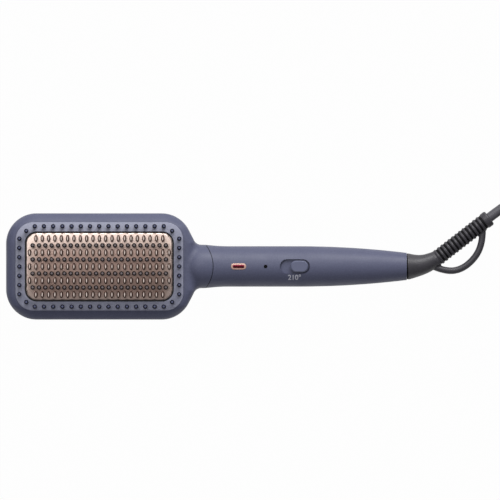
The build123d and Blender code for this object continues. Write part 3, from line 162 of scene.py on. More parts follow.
def blend(tree: Tree, share: Socket, first: Any, second: Any) -> Socket:
    """Mix of two colours: the first at a share of 0, the second at 1."""
    return add_node(tree, "ShaderNodeMix", {"Factor": share, "A": first, "B": second},
                    data_type="RGBA").outputs["Result"]


def part_of(tree: Tree, vector: Socket, axis: str) -> Socket:
    """The X, Y or Z of a vector."""
    return add_node(tree, "ShaderNodeSeparateXYZ", {0: vector}).outputs[axis]


def facing_up(tree: Tree) -> Socket:
    """How far the surface faces up: 1 where it lies level, 0 where it stands upright."""
    return part_of(tree, add_node(tree, "ShaderNodeTexCoord").outputs["Normal"], "Z")


def cycles_per_metre(size_mm: float) -> float:
    """Texture scale at which one blob is about size_mm wide."""
    return 1000.0 / size_mm


def noise(tree: Tree, place: Socket, size_mm: float, detail: float = 2.0,
          roughness: float = 0.5) -> Socket:
    """Soft noise from 0 to 1, with finer layers of a given number and strength added."""
    return add_node(tree, "ShaderNodeTexNoise",
                    {"Vector": place, "Scale": cycles_per_metre(size_mm), "Detail": detail,
                     "Roughness": roughness}).outputs[0]


# ---- helpers for shapes
def placed(x: float, y: float, z: float) -> Vector:
    """A place given in millimetres, in metres."""
    return Vector((x, y, z)) * MM


def on_circle(centre: Pair, reach: float, degrees: float, z: float) -> Point:
    """A place on a level circle, in the unit that the circle is given in."""
    angle = math.radians(degrees)
    return centre[0] + reach * math.cos(angle), centre[1] + reach * math.sin(angle), z


def axis_height() -> float:
    """Height of the handle's axis, which the swivel turns about, in millimetres."""
    low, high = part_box("swivel_journal")
    return (low[2] + high[2]) / 2 / MM


def wear(piece: Piece, material: bpy.types.Material) -> None:
    """Give every material slot of a piece one material."""
    if not piece.material_slots:
        piece.data.materials.append(material)
    for slot in piece.material_slots:
        slot.material = material


def new_object(name: str, data: bpy.types.ID) -> Piece:
    """An object at the origin, linked to the scene."""
    piece = bpy.data.objects.new(name, data)
    bpy.context.scene.collection.objects.link(piece)
    return piece


def finished_object(name: str, bm: Mesh, smooth_angle: float = 40.0) -> Piece:
    """Turn a bmesh into an object at the origin, with its faces outwards and smooth.

    Args:
        name: The piece's name.
        bm: The mesh, in metres, in its place. It is freed.
        smooth_angle: Edges that turn by more than this many degrees stay sharp.

    Returns:
        The new object, linked to the scene.
    """
    bmesh.ops.recalc_face_normals(bm, faces=bm.faces)
    for face in bm.faces:
        face.smooth = True
    limit = math.radians(smooth_angle)
    for edge in bm.edges:
        edge.smooth = not edge.is_manifold or edge.calc_face_angle(0.0) < limit
    mesh = bpy.data.meshes.new(name)
    bm.to_mesh(mesh)
    bm.free()
    return new_object(name, mesh)


def smooth_curve(name: str, points: Sequence[Point], depth: float,
                 radii: Sequence[float] | None = None, fineness: int = 6) -> bpy.types.Curve:
    """A round bar along one open spline that takes the points as its control points.

    Args:
        name: The curve's name.
        points: Control points in millimetres.
        depth: Radius of the bar in millimetres.
        radii: Share of that radius at each point, or None for the same radius all along.
        fineness: Steps along each span and round each quarter of the bar.

    Returns:
        The curve data.
    """
    curve = bpy.data.curves.new(name, "CURVE")
    curve.dimensions = "3D"
    curve.bevel_depth = depth * MM
    curve.bevel_resolution = curve.resolution_u = fineness
    curve.use_fill_caps = True
    spline = curve.splines.new("NURBS")
    spline.points.add(len(points) - 1)
    for i, (control, point) in enumerate(zip(spline.points, points)):
        control.co = (*placed(*point), 1.0)
        control.radius = radii[i] if radii else 1.0
    spline.order_u = 3
    spline.use_endpoint_u = True
    return curve


def add_bar(bm: Mesh, points: Sequence[Point], radii: Sequence[float]) -> None:
    """Add a closed round bar of changing radius to a mesh.

    Args:
        bm: The mesh that gets the bar.
        points: Control points in millimetres.
        radii: Radius at each point in millimetres.
    """
    form = bpy.data.objects.new("form", smooth_curve("form", points, 1.0, radii, fineness=20))
    mesh = bpy.data.meshes.new_from_object(form)
    start = len(bm.verts)
    bm.from_mesh(mesh)
    bm.verts.ensure_lookup_table()
    bmesh.ops.remove_doubles(bm, verts=bm.verts[start:], dist=WELD * MM)
    bpy.data.objects.remove(form)
    bpy.data.meshes.remove(mesh)


def round_edges(bm: Mesh, edges: Iterable[bmesh.types.BMEdge], radius: float,
                steps: int = EDGE_STEPS) -> None:
    """Round edges of a mesh.

    Args:
        bm: The mesh.
        edges: Its edges that are rounded.
        radius: Radius of the rounding, in metres.
        steps: Faces across the rounding.
    """
    bmesh.ops.bevel(bm, geom=list(edges), offset=radius, segments=steps, profile=0.5,
                    affect="EDGES", material=-1)


def is_cap(face: bmesh.types.BMFace) -> bool:
    """Whether a face closes an end, and is none of the four-cornered ones round it."""
    return len(face.verts) > 4


def add_box(bm: Mesh, place: Matrix, size: Sequence[float]) -> list[bmesh.types.BMVert]:
    """Add a box with sharp edges.

    Args:
        bm: The mesh that gets the box.
        place: Its middle and turn, in metres.
        size: Its sides, in metres.

    Returns:
        The box's corners.
    """
    sides = Matrix.Diagonal((*size, 1.0))
    return bmesh.ops.create_cube(bm, size=1.0, matrix=place @ sides)["verts"]


def add_disc(bm: Mesh, place: Matrix, radius: float, thickness: float, rounding: float) -> None:
    """Add a round disc with rounded rims, its axis along the place's Z.

    Args:
        bm: The mesh that gets the disc.
        place: Its middle and turn, in metres.
        radius: In millimetres.
        thickness: In millimetres.
        rounding: Radius of its rims in millimetres.
    """
    made = bmesh.ops.create_cone(bm, cap_ends=True, segments=DISC_STEPS, radius1=radius * MM,
                                 radius2=radius * MM, depth=thickness * MM, matrix=place)
    caps = {face for vert in made["verts"] for face in vert.link_faces if is_cap(face)}
    round_edges(bm, {edge for face in caps for edge in face.edges}, rounding * MM)


# ---- finishes
@dataclass(frozen=True)
class Finish:
    """A surface with a fine relief, a soft drift of colour and patches polished by handling."""

    name: str
    colour: str
    drift: str
    roughness: float = 0.5
    roughness_spread: float = 0.05
    grain_mm: float = 0.9
    grain_height_mm: float = 0.012
    drift_mm: float = 30.0
    speck: str = ""
    speck_share: float = 0.0
    specular: float = 0.5
    metallic: float = 0.0
    transmission: float = 0.0
    sheen: float = 0.0

    def grain(self, tree: Tree, place: Socket) -> Socket:
        """Height of the surface's grain, from 0 to 1."""
        return noise(tree, place, self.grain_mm, roughness=0.55)

    def base(self, tree: Tree, place: Socket, grain: Socket) -> Socket:
        """Colour that drifts between two near tones, with specks where the grain is high."""
        drifting = blend(tree, noise(tree, place, self.drift_mm), linear(self.colour),
                         linear(self.drift))
        if not self.speck_share:
            return drifting
        share = ramp(tree, grain, *SPECK_SPAN, to=(0.0, self.speck_share))
        return blend(tree, share, drifting, linear(self.speck))

    def metal(self, tree: Tree, place: Socket) -> float | Socket:
        """How metallic the surface is."""
        return self.metallic

    def crown(self, tree: Tree, place: Socket) -> Socket | None:
        """Normal of a broad soft form under the grain, or None where there is none."""
        return None

    def build(self) -> bpy.types.Material:
        """Make the node material.

        Returns:
            The material, made once for each name.
        """
        made = bpy.data.materials.get(self.name)
        if made is not None:
            return made
        material = bpy.data.materials.new(self.name)
        tree = cleared_tree(material)
        place = add_node(tree, "ShaderNodeTexCoord").outputs["Object"]
        height = self.grain(tree, place)
        rough = ramp(tree, noise(tree, place, self.drift_mm / 2, detail=3.0), *NOISE_SPAN,
                     to=(self.roughness - self.roughness_spread,
                         self.roughness + self.roughness_spread))
        bump = add_node(tree, "ShaderNodeBump", {"Height": height, "Strength": 1.0,
                                                 "Distance": self.grain_height_mm * MM})
        crown = self.crown(tree, place)
        if crown is not None:
            tree.links.new(crown, bump.inputs["Normal"])
        shader = add_node(tree, "ShaderNodeBsdfPrincipled", {
            "Base Color": self.base(tree, place, height), "Roughness": rough,
            "Normal": bump.outputs["Normal"], "Metallic": self.metal(tree, place),
            "Specular IOR Level": self.specular, "Transmission Weight": self.transmission,
            "Sheen Weight": self.sheen})
        add_node(tree, "ShaderNodeOutputMaterial", {"Surface": shader.outputs["BSDF"]})
        return material


@dataclass(frozen=True)
class Brushed(Finish):
    """Metal with fine scratches that all run one way."""

    run: Point = (0.06, 1.0, 1.0)

    def grain(self, tree: Tree, place: Socket) -> Socket:
        """Noise drawn out along the scratches."""
        drawn = add_node(tree, "ShaderNodeMapping", {"Vector": place, "Scale": self.run})
        return super().grain(tree, drawn.outputs[0])


@dataclass(frozen=True)
class Crowned(Finish):
    """Moulding whose long rims swell softly towards their inner edge."""

    swell_mm: float = 2.6
    swell_from_mm: float = 37.5
    swell_to_mm: float = 28.5

    def crown(self, tree: Tree, place: Socket) -> Socket:
        """Swell that rises from the outer edge inwards, and is level over the rest."""
        away = calculate(tree, "ABSOLUTE", part_of(tree, place, "Y"))
        swell = ramp(tree, away, self.swell_from_mm * MM, self.swell_to_mm * MM,
                     interpolation_type="SMOOTHSTEP")
        return add_node(tree, "ShaderNodeBump", {"Height": swell, "Strength": 1.0,
                                                 "Distance": self.swell_mm * MM}).outputs["Normal"]


@dataclass(frozen=True)
class PaintedShadeCasting(Finish):
    """Coated casting with shade painted on its upright flanks and in the field between its fins.
    """

    # Flanks, where shade is painted: their colour, how metallic they are, and the heights and
    # slopes that count as one.
    flank: str = "4e2413"
    flank_metal: float = 0.35
    flank_from_mm: float = 33.1
    flank_full_mm: float = 33.7
    steep: float = 0.6
    level: float = 0.98
    # Tops of the fins, where a pale highlight is painted.
    top: str = "fff0e6"
    top_from_mm: float = 39.3
    top_full_mm: float = 39.6
    # Field between the fins, where shade is painted: its middle, its half sizes and how softly it
    # ends.
    field: str = "bfa296"
    field_centre: Pair = (-79.4, -4.5)
    field_half: Pair = (51.0, 20.0)
    field_fade_mm: float = 6.5
    field_top_mm: float = 39.5
    field_top_fade_mm: float = 1.0

    def flank_shade_mask(self, tree: Tree, place: Socket) -> Socket:
        """1 on walls that stand up from the plate, where shade is painted, 0 on its level faces.
        """
        upright = ramp(tree, facing_up(tree), self.level, self.steep)
        raised = ramp(tree, part_of(tree, place, "Z"), self.flank_from_mm * MM,
                      self.flank_full_mm * MM)
        return calculate(tree, "MULTIPLY", upright, raised)

    def fin_top_highlight(self, tree: Tree, place: Socket) -> Socket:
        """1 on the fins' tops, where a pale highlight is painted."""
        return ramp(tree, part_of(tree, place, "Z"), self.top_from_mm * MM, self.top_full_mm * MM)

    def field_shade_mask(self, tree: Tree, place: Socket) -> Socket:
        """1 on the plate between the fins, where shade is painted, fading to 0 at its border and
        on the fins' tops.
        """
        within = []
        for axis, centre, half in zip("XY", self.field_centre, self.field_half):
            off = calculate(tree, "SUBTRACT", part_of(tree, place, axis), centre * MM)
            within.append(ramp(tree, calculate(tree, "ABSOLUTE", off),
                               (half + self.field_fade_mm) * MM,
                               (half - self.field_fade_mm) * MM))
        low = ramp(tree, part_of(tree, place, "Z"), self.field_top_mm * MM,
                   (self.field_top_mm - self.field_top_fade_mm) * MM)
        return calculate(tree, "MULTIPLY", calculate(tree, "MULTIPLY", *within), low)

    def base(self, tree: Tree, place: Socket, grain: Socket) -> Socket:
        """Shade painted in the field and on the flanks, and a highlight painted on the fins' tops.
        """
        ground = blend(tree, self.field_shade_mask(tree, place), super().base(tree, place, grain),
                       linear(self.field))
        crest = blend(tree, self.fin_top_highlight(tree, place), ground, linear(self.top))
        return blend(tree, self.flank_shade_mask(tree, place), crest, linear(self.flank))

    def metal(self, tree: Tree, place: Socket) -> Socket:
        """Metallic on the plate, duller where shade is painted on the flanks and where the fins'
        tops are painted pale.
        """
        dull = calculate(tree, "MAXIMUM", self.flank_shade_mask(tree, place), self.fin_top_highlight(tree, place))
        return ramp(tree, dull, 0.0, 1.0, (self.metallic, self.flank_metal))


@dataclass(frozen=True)
class Domed(Finish):
    """Ball-ended moulding with a pale highlight painted on top, and dark down its sides."""

    crest: str = "7a7173"
    side_level: float = 0.74
    crest_level: float = 0.98

    def base(self, tree: Tree, place: Socket, grain: Socket) -> Socket:
        """Colour that pales towards the top of each ball: a painted highlight."""
        highlight_share = ramp(tree, facing_up(tree), self.side_level, self.crest_level)
        return blend(tree, highlight_share, super().base(tree, place, grain), linear(self.crest))


@dataclass(frozen=True)
class Looped(Finish):
    """Band of small textile loops, packed side by side."""

    def grain(self, tree: Tree, place: Socket) -> Socket:
        """Rounded cells, one for each tuft of loops."""
        tufts = add_node(tree, "ShaderNodeTexVoronoi",
                         {"Vector": place, "Scale": cycles_per_metre(self.grain_mm)})
        return calculate(tree, "SUBTRACT", 1.0, tufts.outputs["Distance"])


@dataclass(frozen=True)
class Tracked(Finish):
    """Circuit board: copper tracks under the mask stand up a little and look paler."""

    track_mm: float = 9.0
    gap_share: float = 0.25

    def grain(self, tree: Tree, place: Socket) -> Socket:
        """Straight tracks with gaps between them."""
        return add_node(tree, "ShaderNodeTexBrick", {
            "Vector": place, "Scale": 1.0, "Brick Width": self.track_mm * MM,
            "Row Height": self.grain_mm * MM, "Mortar Size": self.gap_share * self.grain_mm * MM,
            "Color1": (1, 1, 1, 1), "Color2": (0.8, 0.8, 0.8, 1),
            "Mortar": (0, 0, 0, 1)}).outputs["Color"]


class Shades:
    """Every finish on the brush."""

    # Satin ABS from a spark-eroded mould: a soft broad highlight and no sharp reflection.
    HOUSING = Crowned("satin_abs_slate", "585b73", "54576f", 0.5, speck="686b83",
                      speck_share=0.35, specular=0.4)
    # The same ABS in a paler shade: the ring stands out from the rim round it.
    RING = Finish("satin_abs_pale", "9698ac", "9092a6", 0.44, speck="a8aabc", speck_share=0.5)
    # Finer mould texture: the knob looks smoother than the handle.
    KNOB = Finish("fine_abs_knob", "636780", "5f637b", 0.4, grain_mm=0.7, grain_height_mm=0.006)
    # Ceramic coating over die-cast aluminium: a soft metallic glow with a fine mottle.
    # Shade is painted on the fins' flanks and between the fins, and a pale highlight on the fins'
    # tops.
    PLATE = PaintedShadeCasting("ceramic_coated_aluminium", "f0ddd3", "ebd6cb", 0.3, 0.04, 0.8, 0.004, 22.0,
                  "dabcad", 0.5, specular=0.0, metallic=0.92)
    # Heat-proof nylon: near black, with a soft grey highlight painted on top.
    TIPS = Domed("nylon_black_painted_highlight", "0d0b0c", "110e0f", 0.34, 0.03, 0.8, 0.002, 12.0,
                 specular=0.04)
    # The same nylon with a blue cast and a painted highlight on top: the outer pins belong to the
    # ring, not to the plate.
    GUARD_PINS = Domed("nylon_navy_painted_highlight", "0c0e1c", "101222", 0.34, 0.03, 0.8, 0.002, 12.0,
                       specular=0.04, crest="5c5f78")
    # Near-black elastomer in the sleeve's slots and the groove beside the handle: painted shade of
    # those recesses.
    GUARD_SHADE = Finish("elastomer_painted_shade", "09090b", "0c0c0e", 0.6, 0.05, 0.8, 0.01, 9.0,
                        specular=0.15)
    # Thin dark strip along a joint between two mouldings: painted shadow of the gap.
    JOINT_PAINTED_SHADOW = Finish("joint_painted_shadow", "1b1c26", "20212c", 0.6, 0.04, 0.8, 0.004, 9.0,
                        specular=0.2)
    # Silicone seal: matt and nearly black, so it reads as a line.
    SEAL = Finish("matt_silicone_black", "0f0f13", "131317", 0.62, grain_height_mm=0.02)
    # Polished electroplated rim: a bright pink metal line.
    RIM = Finish("rose_plated_rim", "e6bfb0", "dfb4a4", 0.26, 0.02, 0.6, 0.002, 8.0,
                 metallic=0.6)
    # Dyed insulating moulding inside the outlet: deep red.
    OUTLET = Finish("crimson_moulding", "a62e4a", "962842", 0.4, 0.05, 0.6, 0.01, 8.0,
                    specular=0.3)
    # Smoked clear plastic: looks black until the lamp behind it is lit.
    LENS = Finish("smoked_lens", "06060a", "08080c", 0.16, 0.01, 0.6, 0.001, 6.0, specular=0.3)
    # Pad-printed ink: flat and slightly chalky.
    INK = Finish("pale_grey_ink", "d3d3dc", "c8c9d4", 0.6, 0.04, 0.5, 0.004, 5.0)
    # Moulded thermoplastic elastomer: warm dark grey, dull with a faint bloom.
    GUARD = Finish("matt_elastomer", "38363c", "333137", 0.48, 0.05, 0.9, 0.01, 16.0, "47454b",
                   0.4, specular=0.6)
    # Extruded flexible PVC: a little smoother than the moulded guard.
    CORD = Finish("extruded_pvc_sheath", "55545a", "504f55", 0.5, 0.05, 1.1, 0.012, 40.0)
    # Woven hook-and-loop band: fuzzy and light-absorbing.
    TIE = Looped("hook_and_loop_band", "1d1d21", "25252a", 0.9, 0.04, 1.0, 0.25, 9.0, sheen=0.3)
    # Moulded PVC plug: near black with a light grain.
    PLUG = Finish("moulded_pvc_plug", "202024", "1c1c20", 0.5, 0.05, 1.2, 0.03, 18.0)
    # Nickel plate over brass, turned: bright with faint rings.
    PINS = Brushed("nickel_plated_brass", "cfccc4", "c6c2b8", 0.24, 0.04, 0.5, 0.004, 9.0,
                   metallic=1.0, run=(1.0, 0.1, 1.0))
    # Natural glass-filled nylon: ivory, with a faint swirl of fibres.
    NATURAL = Finish("glass_filled_nylon", "c9c4b4", "bdb7a5", 0.55, 0.05, 1.2, 0.02, 14.0,
                     "ddd9cc", 0.4)
    # Acetal for what slides and turns: black with a slippery gloss.
    ACETAL = Finish("black_acetal", "1a1a1d", "1f1f22", 0.34, 0.04, 0.7, 0.006, 10.0)
    # Cast epoxy over components: black, slightly wavy.
    POTTING = Finish("cast_epoxy", "151518", "1b1b1f", 0.3, 0.05, 2.5, 0.05, 8.0)
    # Dipped epoxy capacitor: mustard and glossy.
    CAPACITOR = Finish("dipped_epoxy_yellow", "b98d1e", "ad8118", 0.25, 0.04, 1.6, 0.03, 7.0)
    # Fired barium titanate with silvered faces: dull grey.
    CERAMIC = Finish("fired_titanate", "75716c", "6b6762", 0.6, 0.05, 0.6, 0.01, 6.0, "8b8781",
                     0.5)
    # Polyimide film: amber with a slight gloss.
    FILM = Finish("polyimide_film", "b4691c", "a45d16", 0.22, 0.04, 3.0, 0.01, 18.0)
    # Rolled aluminium foil: bright, with rolling lines.
    FOIL = Brushed("rolled_aluminium", "cdced1", "c4c6c9", 0.3, 0.05, 0.6, 0.004, 12.0,
                   metallic=1.0)
    # Zinc-plated steel: cool grey with a faint blue drift.
    STEEL = Brushed("zinc_plated_steel", "b3b6ba", "a9afb8", 0.34, 0.05, 0.5, 0.004, 8.0,
                    metallic=1.0)
    # Turned brass: warm and bright, with lines round the rings.
    BRASS = Brushed("turned_brass", "d0ac5c", "c8a252", 0.26, 0.04, 0.4, 0.004, 6.0,
                    metallic=1.0, run=(1.0, 0.1, 0.1))
    # Solder mask over copper tracks: green, with paler lines.
    BOARD = Tracked("solder_mask_green", "14502a", "124826", 0.3, 0.04, 1.6, 0.03, 20.0,
                    "3c7a46", 0.8)
    # Clear epoxy lamp body: light passes through it.
    LAMP = Finish("clear_epoxy_lamp", "e6e6df", "dedfd8", 0.12, 0.02, 1.0, 0.002, 4.0,
                  transmission=0.6)
    # Silicone sleeving on heat-proof wire: a soft dull red.
    SLEEVING = Finish("silicone_sleeving_red", "a8261c", "9c2018", 0.5, 0.05, 0.7, 0.015, 10.0)


# ---- stage, camera and light
@dataclass(frozen=True)
class Softbox:
    """Area lamp that faces the brush and isn't seen itself, with its lengths in metres."""

    name: str
    place: Point
    size: Pair
    watts: float


@dataclass
class Studio:
    """Pale floor, soft light from one side and the camera above the brush, in metres."""

    floor_size: float = 60.0
    floor_drop: float = 0.15 * MM
    floor_glow: float = 0.985
    floor_tone: str = "7c7c7e"
    sky_tone: str = "f4f5f8"
    sky_strength: float = 0.27
    camera_height: float = 14.0
    view_centre: Pair = (0.0323, 0.0122)
    view_width: float = 0.3709
    subject_height: float = 0.022
    sensor: float = 36.0
    clip: Pair = (0.1, 40.0)
    softboxes: Sequence[Softbox] = (
        Softbox("key_softbox", (0.35, 1.36, 0.86), (1.5, 0.8), 25.0),
        Softbox("overhead_softbox", (-0.34, 0.44, 1.22), (0.9, 0.7), 5.2))

    def build(self) -> None:
        """Make the floor, the lights and the camera."""
        self.floor()
        self.world()
        for softbox in self.softboxes:
            self.lamp(softbox)
        self.camera()

    def camera(self) -> None:
        """A long lens that looks straight down on the bristle side."""
        data = bpy.data.cameras.new("camera")
        data.sensor_width = self.sensor
        data.lens = self.sensor * self.camera_height / self.view_width
        data.clip_start, data.clip_end = self.clip
        camera = new_object("camera", data)
        camera.location = (*self.view_centre, self.subject_height + self.camera_height)
        bpy.context.scene.camera = camera

    def lamp(self, softbox: Softbox) -> None:
        """Set up one softbox, turned to the middle of the view."""
        data = bpy.data.lights.new(softbox.name, "AREA")
        data.shape = "RECTANGLE"
        data.size, data.size_y = softbox.size
        data.energy = softbox.watts
        lamp = new_object(softbox.name, data)
        lamp.location = softbox.place
        aim = Vector((*self.view_centre, 0)) - Vector(softbox.place)
        lamp.rotation_euler = aim.to_track_quat("-Z", "Y").to_euler()
        lamp.visible_camera = False

    def world(self) -> None:
        """Dim even light from all round."""
        world = bpy.data.worlds.new("studio")
        bpy.context.scene.world = world
        tree = cleared_tree(world)
        back = add_node(tree, "ShaderNodeBackground", {"Color": linear(self.sky_tone),
                                                       "Strength": self.sky_strength})
        add_node(tree, "ShaderNodeOutputWorld", {"Surface": back.outputs["Background"]})

    def floor(self) -> None:
        """Floor that looks white and takes a soft shadow, but throws little light back."""
        bm = bmesh.new()
        bmesh.ops.create_grid(bm, x_segments=1, y_segments=1, size=self.floor_size / 2)
        bmesh.ops.translate(bm, verts=bm.verts, vec=(0, 0, -self.floor_drop))
        floor = finished_object("floor", bm)
        material = bpy.data.materials.new("matt_white_floor")
        tree = cleared_tree(material)
        matt = add_node(tree, "ShaderNodeBsdfDiffuse", {"Color": linear(self.floor_tone)})
        white = add_node(tree, "ShaderNodeEmission", {"Color": (1, 1, 1, 1), "Strength": 1.0})
        rays = add_node(tree, "ShaderNodeLightPath").outputs
        seen = calculate(tree, "MAXIMUM", rays["Is Camera Ray"], rays["Is Glossy Ray"])
        clear = calculate(tree, "MAXIMUM", seen, rays["Is Transmission Ray"])
        share = calculate(tree, "MULTIPLY", clear, self.floor_glow)
        mix = add_node(tree, "ShaderNodeMixShader",
                       {0: share, 1: matt.outputs[0], 2: white.outputs[0]})
        add_node(tree, "ShaderNodeOutputMaterial", {"Surface": mix.outputs[0]})
        wear(floor, material)


# ---- sub-assemblies
@dataclass
class Assembly:
    """A group of the model's own pieces, with what is modelled on top of them."""

    # Which finish each of the model's pieces wears.
    finishes = dict[str, Finish]()

    def details(self, nodes: Nodes) -> list[Piece]:
        """Model the pieces that the frame leaves to the looks."""
        return []

    def build(self, nodes: Nodes) -> None:
        """Dress the model's pieces and make the new ones.

        Args:
            nodes: The model's own pieces, by name.
        """
        for name, finish in self.finishes.items():
            wear(nodes[name], finish.build())
            LOG.info("%s: %s wears %s", type(self).__name__, name, finish.name)
        for piece in self.details(nodes):
            LOG.info("%s: made %s", type(self).__name__, piece.name)


@dataclass
class Paddle(Assembly):
    """Housing, back cover, ring, seal and the plate with its bristles."""

    finishes = {
        "head_front_housing": Shades.HOUSING, "head_back_cover": Shades.HOUSING,
        "comb_frame": Shades.RING, "guard_pins": Shades.GUARD_PINS, "plate_gasket": Shades.SEAL,
        "screw_plugs": Shades.SEAL, "heating_plate": Shades.PLATE, "bristle_tips": Shades.TIPS,
        "plate_retainer": Shades.NATURAL, "head_screws": Shades.STEEL,
        "retainer_screws": Shades.STEEL}


@dataclass
class Heater(Assembly):
    """Heat-making stack under the plate, with its fuse, sensor and shield."""

    finishes = {
        "ptc_heaters": Shades.CERAMIC, "heater_electrodes": Shades.FOIL,
        "heater_insulation": Shades.FILM, "heat_shield": Shades.FILM,
        "heater_clamp": Shades.STEEL, "clamp_screws": Shades.STEEL,
        "shield_screws": Shades.STEEL, "fuse_clip": Shades.STEEL,
        "thermal_fuse": Shades.POTTING, "temperature_sensor": Shades.POTTING,
        "heater_leads": Shades.SLEEVING}


@dataclass
class Handle(Assembly):
    """Handle shells, ion outlet, indicator, switch knob and the printed heat mark, in mm."""

    finishes = {
        "handle_front_shell": Shades.HOUSING, "handle_back_shell": Shades.HOUSING,
        "handle_screws": Shades.STEEL, "switch_knob": Shades.KNOB,
        "ion_outlet_rim": Shades.RIM, "ion_needle_holder": Shades.ACETAL,
        "ion_needles": Shades.STEEL, "led_lens": Shades.LENS}
    # Heat mark: letter height, how much bolder, ink thickness, and spacing of its bend lines.
    mark: str = "210°"
    mark_place: Pair = (65.3, -8.3)
    mark_size: float = 5.2
    mark_weight: float = 0.09
    mark_lift: float = 0.05
    mark_step: float = 0.4
    mark_above: float = 60.0
    # Outlet liner: the mouth it sits in with its play, its round ends, walls and depth.
    liner_mouth: Pair = (8.7, 2.5)
    liner_play: float = 0.04
    liner_end_share: float = 0.495
    liner_end_steps: int = 8
    liner_wall: float = 0.12
    liner_lip: float = 0.9
    liner_drop: float = 0.12
    liner_sink_share: float = 0.8
    # Neck joint: an arc seen from above, and how its strip of painted shadow is laid on the skin.
    seam_centre_x: float = -21.45
    seam_bend_r: float = 26.3
    seam_gap: float = 0.25
    seam_width: float = 0.56
    seam_proud: float = 0.03
    seam_steps: int = 96
    seam_reach: float = 15.6
    seam_rounds: int = 3
    seam_outside: float = 45.0

    def details(self, nodes: Nodes) -> list[Piece]:
        """Print the mark, line the outlet and paint a shadow along the joint at the neck."""
        return [self.printed_mark(nodes["handle_front_shell"]), self.outlet_liner(),
                self.neck_painted_shadow(nodes)]

    def neck_painted_shadow(self, nodes: Nodes) -> Piece:
        """Dark strip along the curved joint between the paddle's neck and the handle: painted
        shadow of the gap.

        Args:
            nodes: The model's own pieces, by name.

        Returns:
            The strip of painted shadow.
        """
        skin = bmesh.new()
        for name in ("head_front_housing", "head_back_cover", "handle_front_shell",
                     "handle_back_shell"):
            skin.from_mesh(nodes[name].data)
        surface = BVHTree.FromBMesh(skin)
        axis_z = axis_height()
        bm = bmesh.new()
        rows = []
        for i in range(self.seam_steps):
            angle = 2 * math.pi * (i + 0.5) / self.seam_steps
            out = Vector((0, math.sin(angle), math.cos(angle)))
            row = []
            for side in (-0.5, 0.5):
                # Where the joint lies depends on how far out the skin is, so it is closed in on.
                reach = self.seam_reach
                for _ in range(self.seam_rounds):
                    axis = placed(self.painted_shadow_x(reach * out.y) + side * self.seam_width, 0, axis_z)
                    hit = surface.ray_cast(axis + out * self.seam_outside * MM, -out)[0]
                    reach = (hit - axis).length / MM
                row.append(bm.verts.new(axis + out * (reach + self.seam_proud) * MM))
            rows.append(row)
        for row, after in zip(rows, rows[1:] + rows[:1]):
            bm.faces.new((row[0], row[1], after[1], after[0]))
        skin.free()
        painted_shadow = finished_object("neck_joint_painted_shadow", bm)
        wear(painted_shadow, Shades.JOINT_PAINTED_SHADOW.build())
        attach(painted_shadow, Body.BRUSH.value)
        return painted_shadow

    def painted_shadow_x(self, y: float) -> float:
        """Where the middle of the neck's joint lies at a place across the brush."""
        return self.seam_centre_x + math.sqrt(self.seam_bend_r ** 2 - y ** 2) + self.seam_gap / 2

    def printed_mark(self, shell: Piece) -> Piece:
        """Thin ink numbers that follow the handle's round top.

        Args:
            shell: The piece that carries the ink.

        Returns:
            The ink.
        """
        text = bpy.data.curves.new("heat_mark", "FONT")
        text.body = self.mark
        text.size = self.mark_size * MM
        text.offset = self.mark_weight * MM
        text.align_x = text.align_y = "CENTER"
        form = bpy.data.objects.new("form", text)
        bm = bmesh.new()
        bm.from_mesh(bpy.data.meshes.new_from_object(form))
        bpy.data.objects.remove(form)
        reach = int(self.mark_size / self.mark_step)
        for i in range(-reach, reach + 1):
            bmesh.ops.bisect_plane(bm, geom=[*bm.verts, *bm.edges, *bm.faces],
                                   plane_co=(0, i * self.mark_step * MM, 0), plane_no=(0, 1, 0))
        bmesh.ops.triangulate(bm, faces=bm.faces)
        surface = BVHTree.FromObject(shell, bpy.context.evaluated_depsgraph_get())
        for vert in bm.verts:
            above = Vector((vert.co.x, vert.co.y, 0)) + placed(*self.mark_place, self.mark_above)
            vert.co = surface.ray_cast(above, Vector((0, 0, -1)))[0] + placed(0, 0, self.mark_lift)
        bmesh.ops.solidify(bm, geom=bm.faces, thickness=self.mark_lift * MM)
        mark = finished_object("heat_mark", bm)
        wear(mark, Shades.INK.build())
        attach(mark, Body.BRUSH.value)
        return mark

    def outlet_liner(self) -> Piece:
        """Red liner in the outlet's mouth, with a wider lip on one long side."""
        low, high = (Vector(corner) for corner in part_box("ion_outlet_rim"))
        middle = (low + high) / 2
        mouth = placed(*self.liner_mouth, 0)
        play = self.liner_play * MM
        depth = high.z - low.z - self.liner_drop * MM
        centre = Vector((middle.x, middle.y, low.z + depth / 2))
        bm = bmesh.new()
        add_box(bm, Matrix.Translation(centre), (mouth.x - play, mouth.y - play, depth))
        posts = [edge for edge in bm.edges
                 if abs(edge.verts[0].co.z - edge.verts[1].co.z) > depth / 2]
        round_edges(bm, posts, mouth.y * self.liner_end_share, self.liner_end_steps)
        top = [face for face in bm.faces if face.normal.z > FACING]
        bmesh.ops.inset_region(bm, faces=top, thickness=self.liner_wall * MM)
        sink = [face for face in bm.faces if face.normal.z > FACING and is_cap(face)]
        upper = [vert for face in sink for vert in face.verts if vert.co.y > middle.y]
        bmesh.ops.translate(bm, verts=upper,
                            vec=(0, -(self.liner_lip - self.liner_wall) * MM, 0))
        deep = bmesh.ops.extrude_discrete_faces(bm, faces=sink)["faces"]
        bmesh.ops.translate(bm, verts=[vert for face in deep for vert in face.verts],
                            vec=(0, 0, -depth * self.liner_sink_share))
        liner = finished_object("ion_outlet_liner", bm)
        wear(liner, Shades.OUTLET.build())
        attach(liner, Body.BRUSH.value)
        return liner


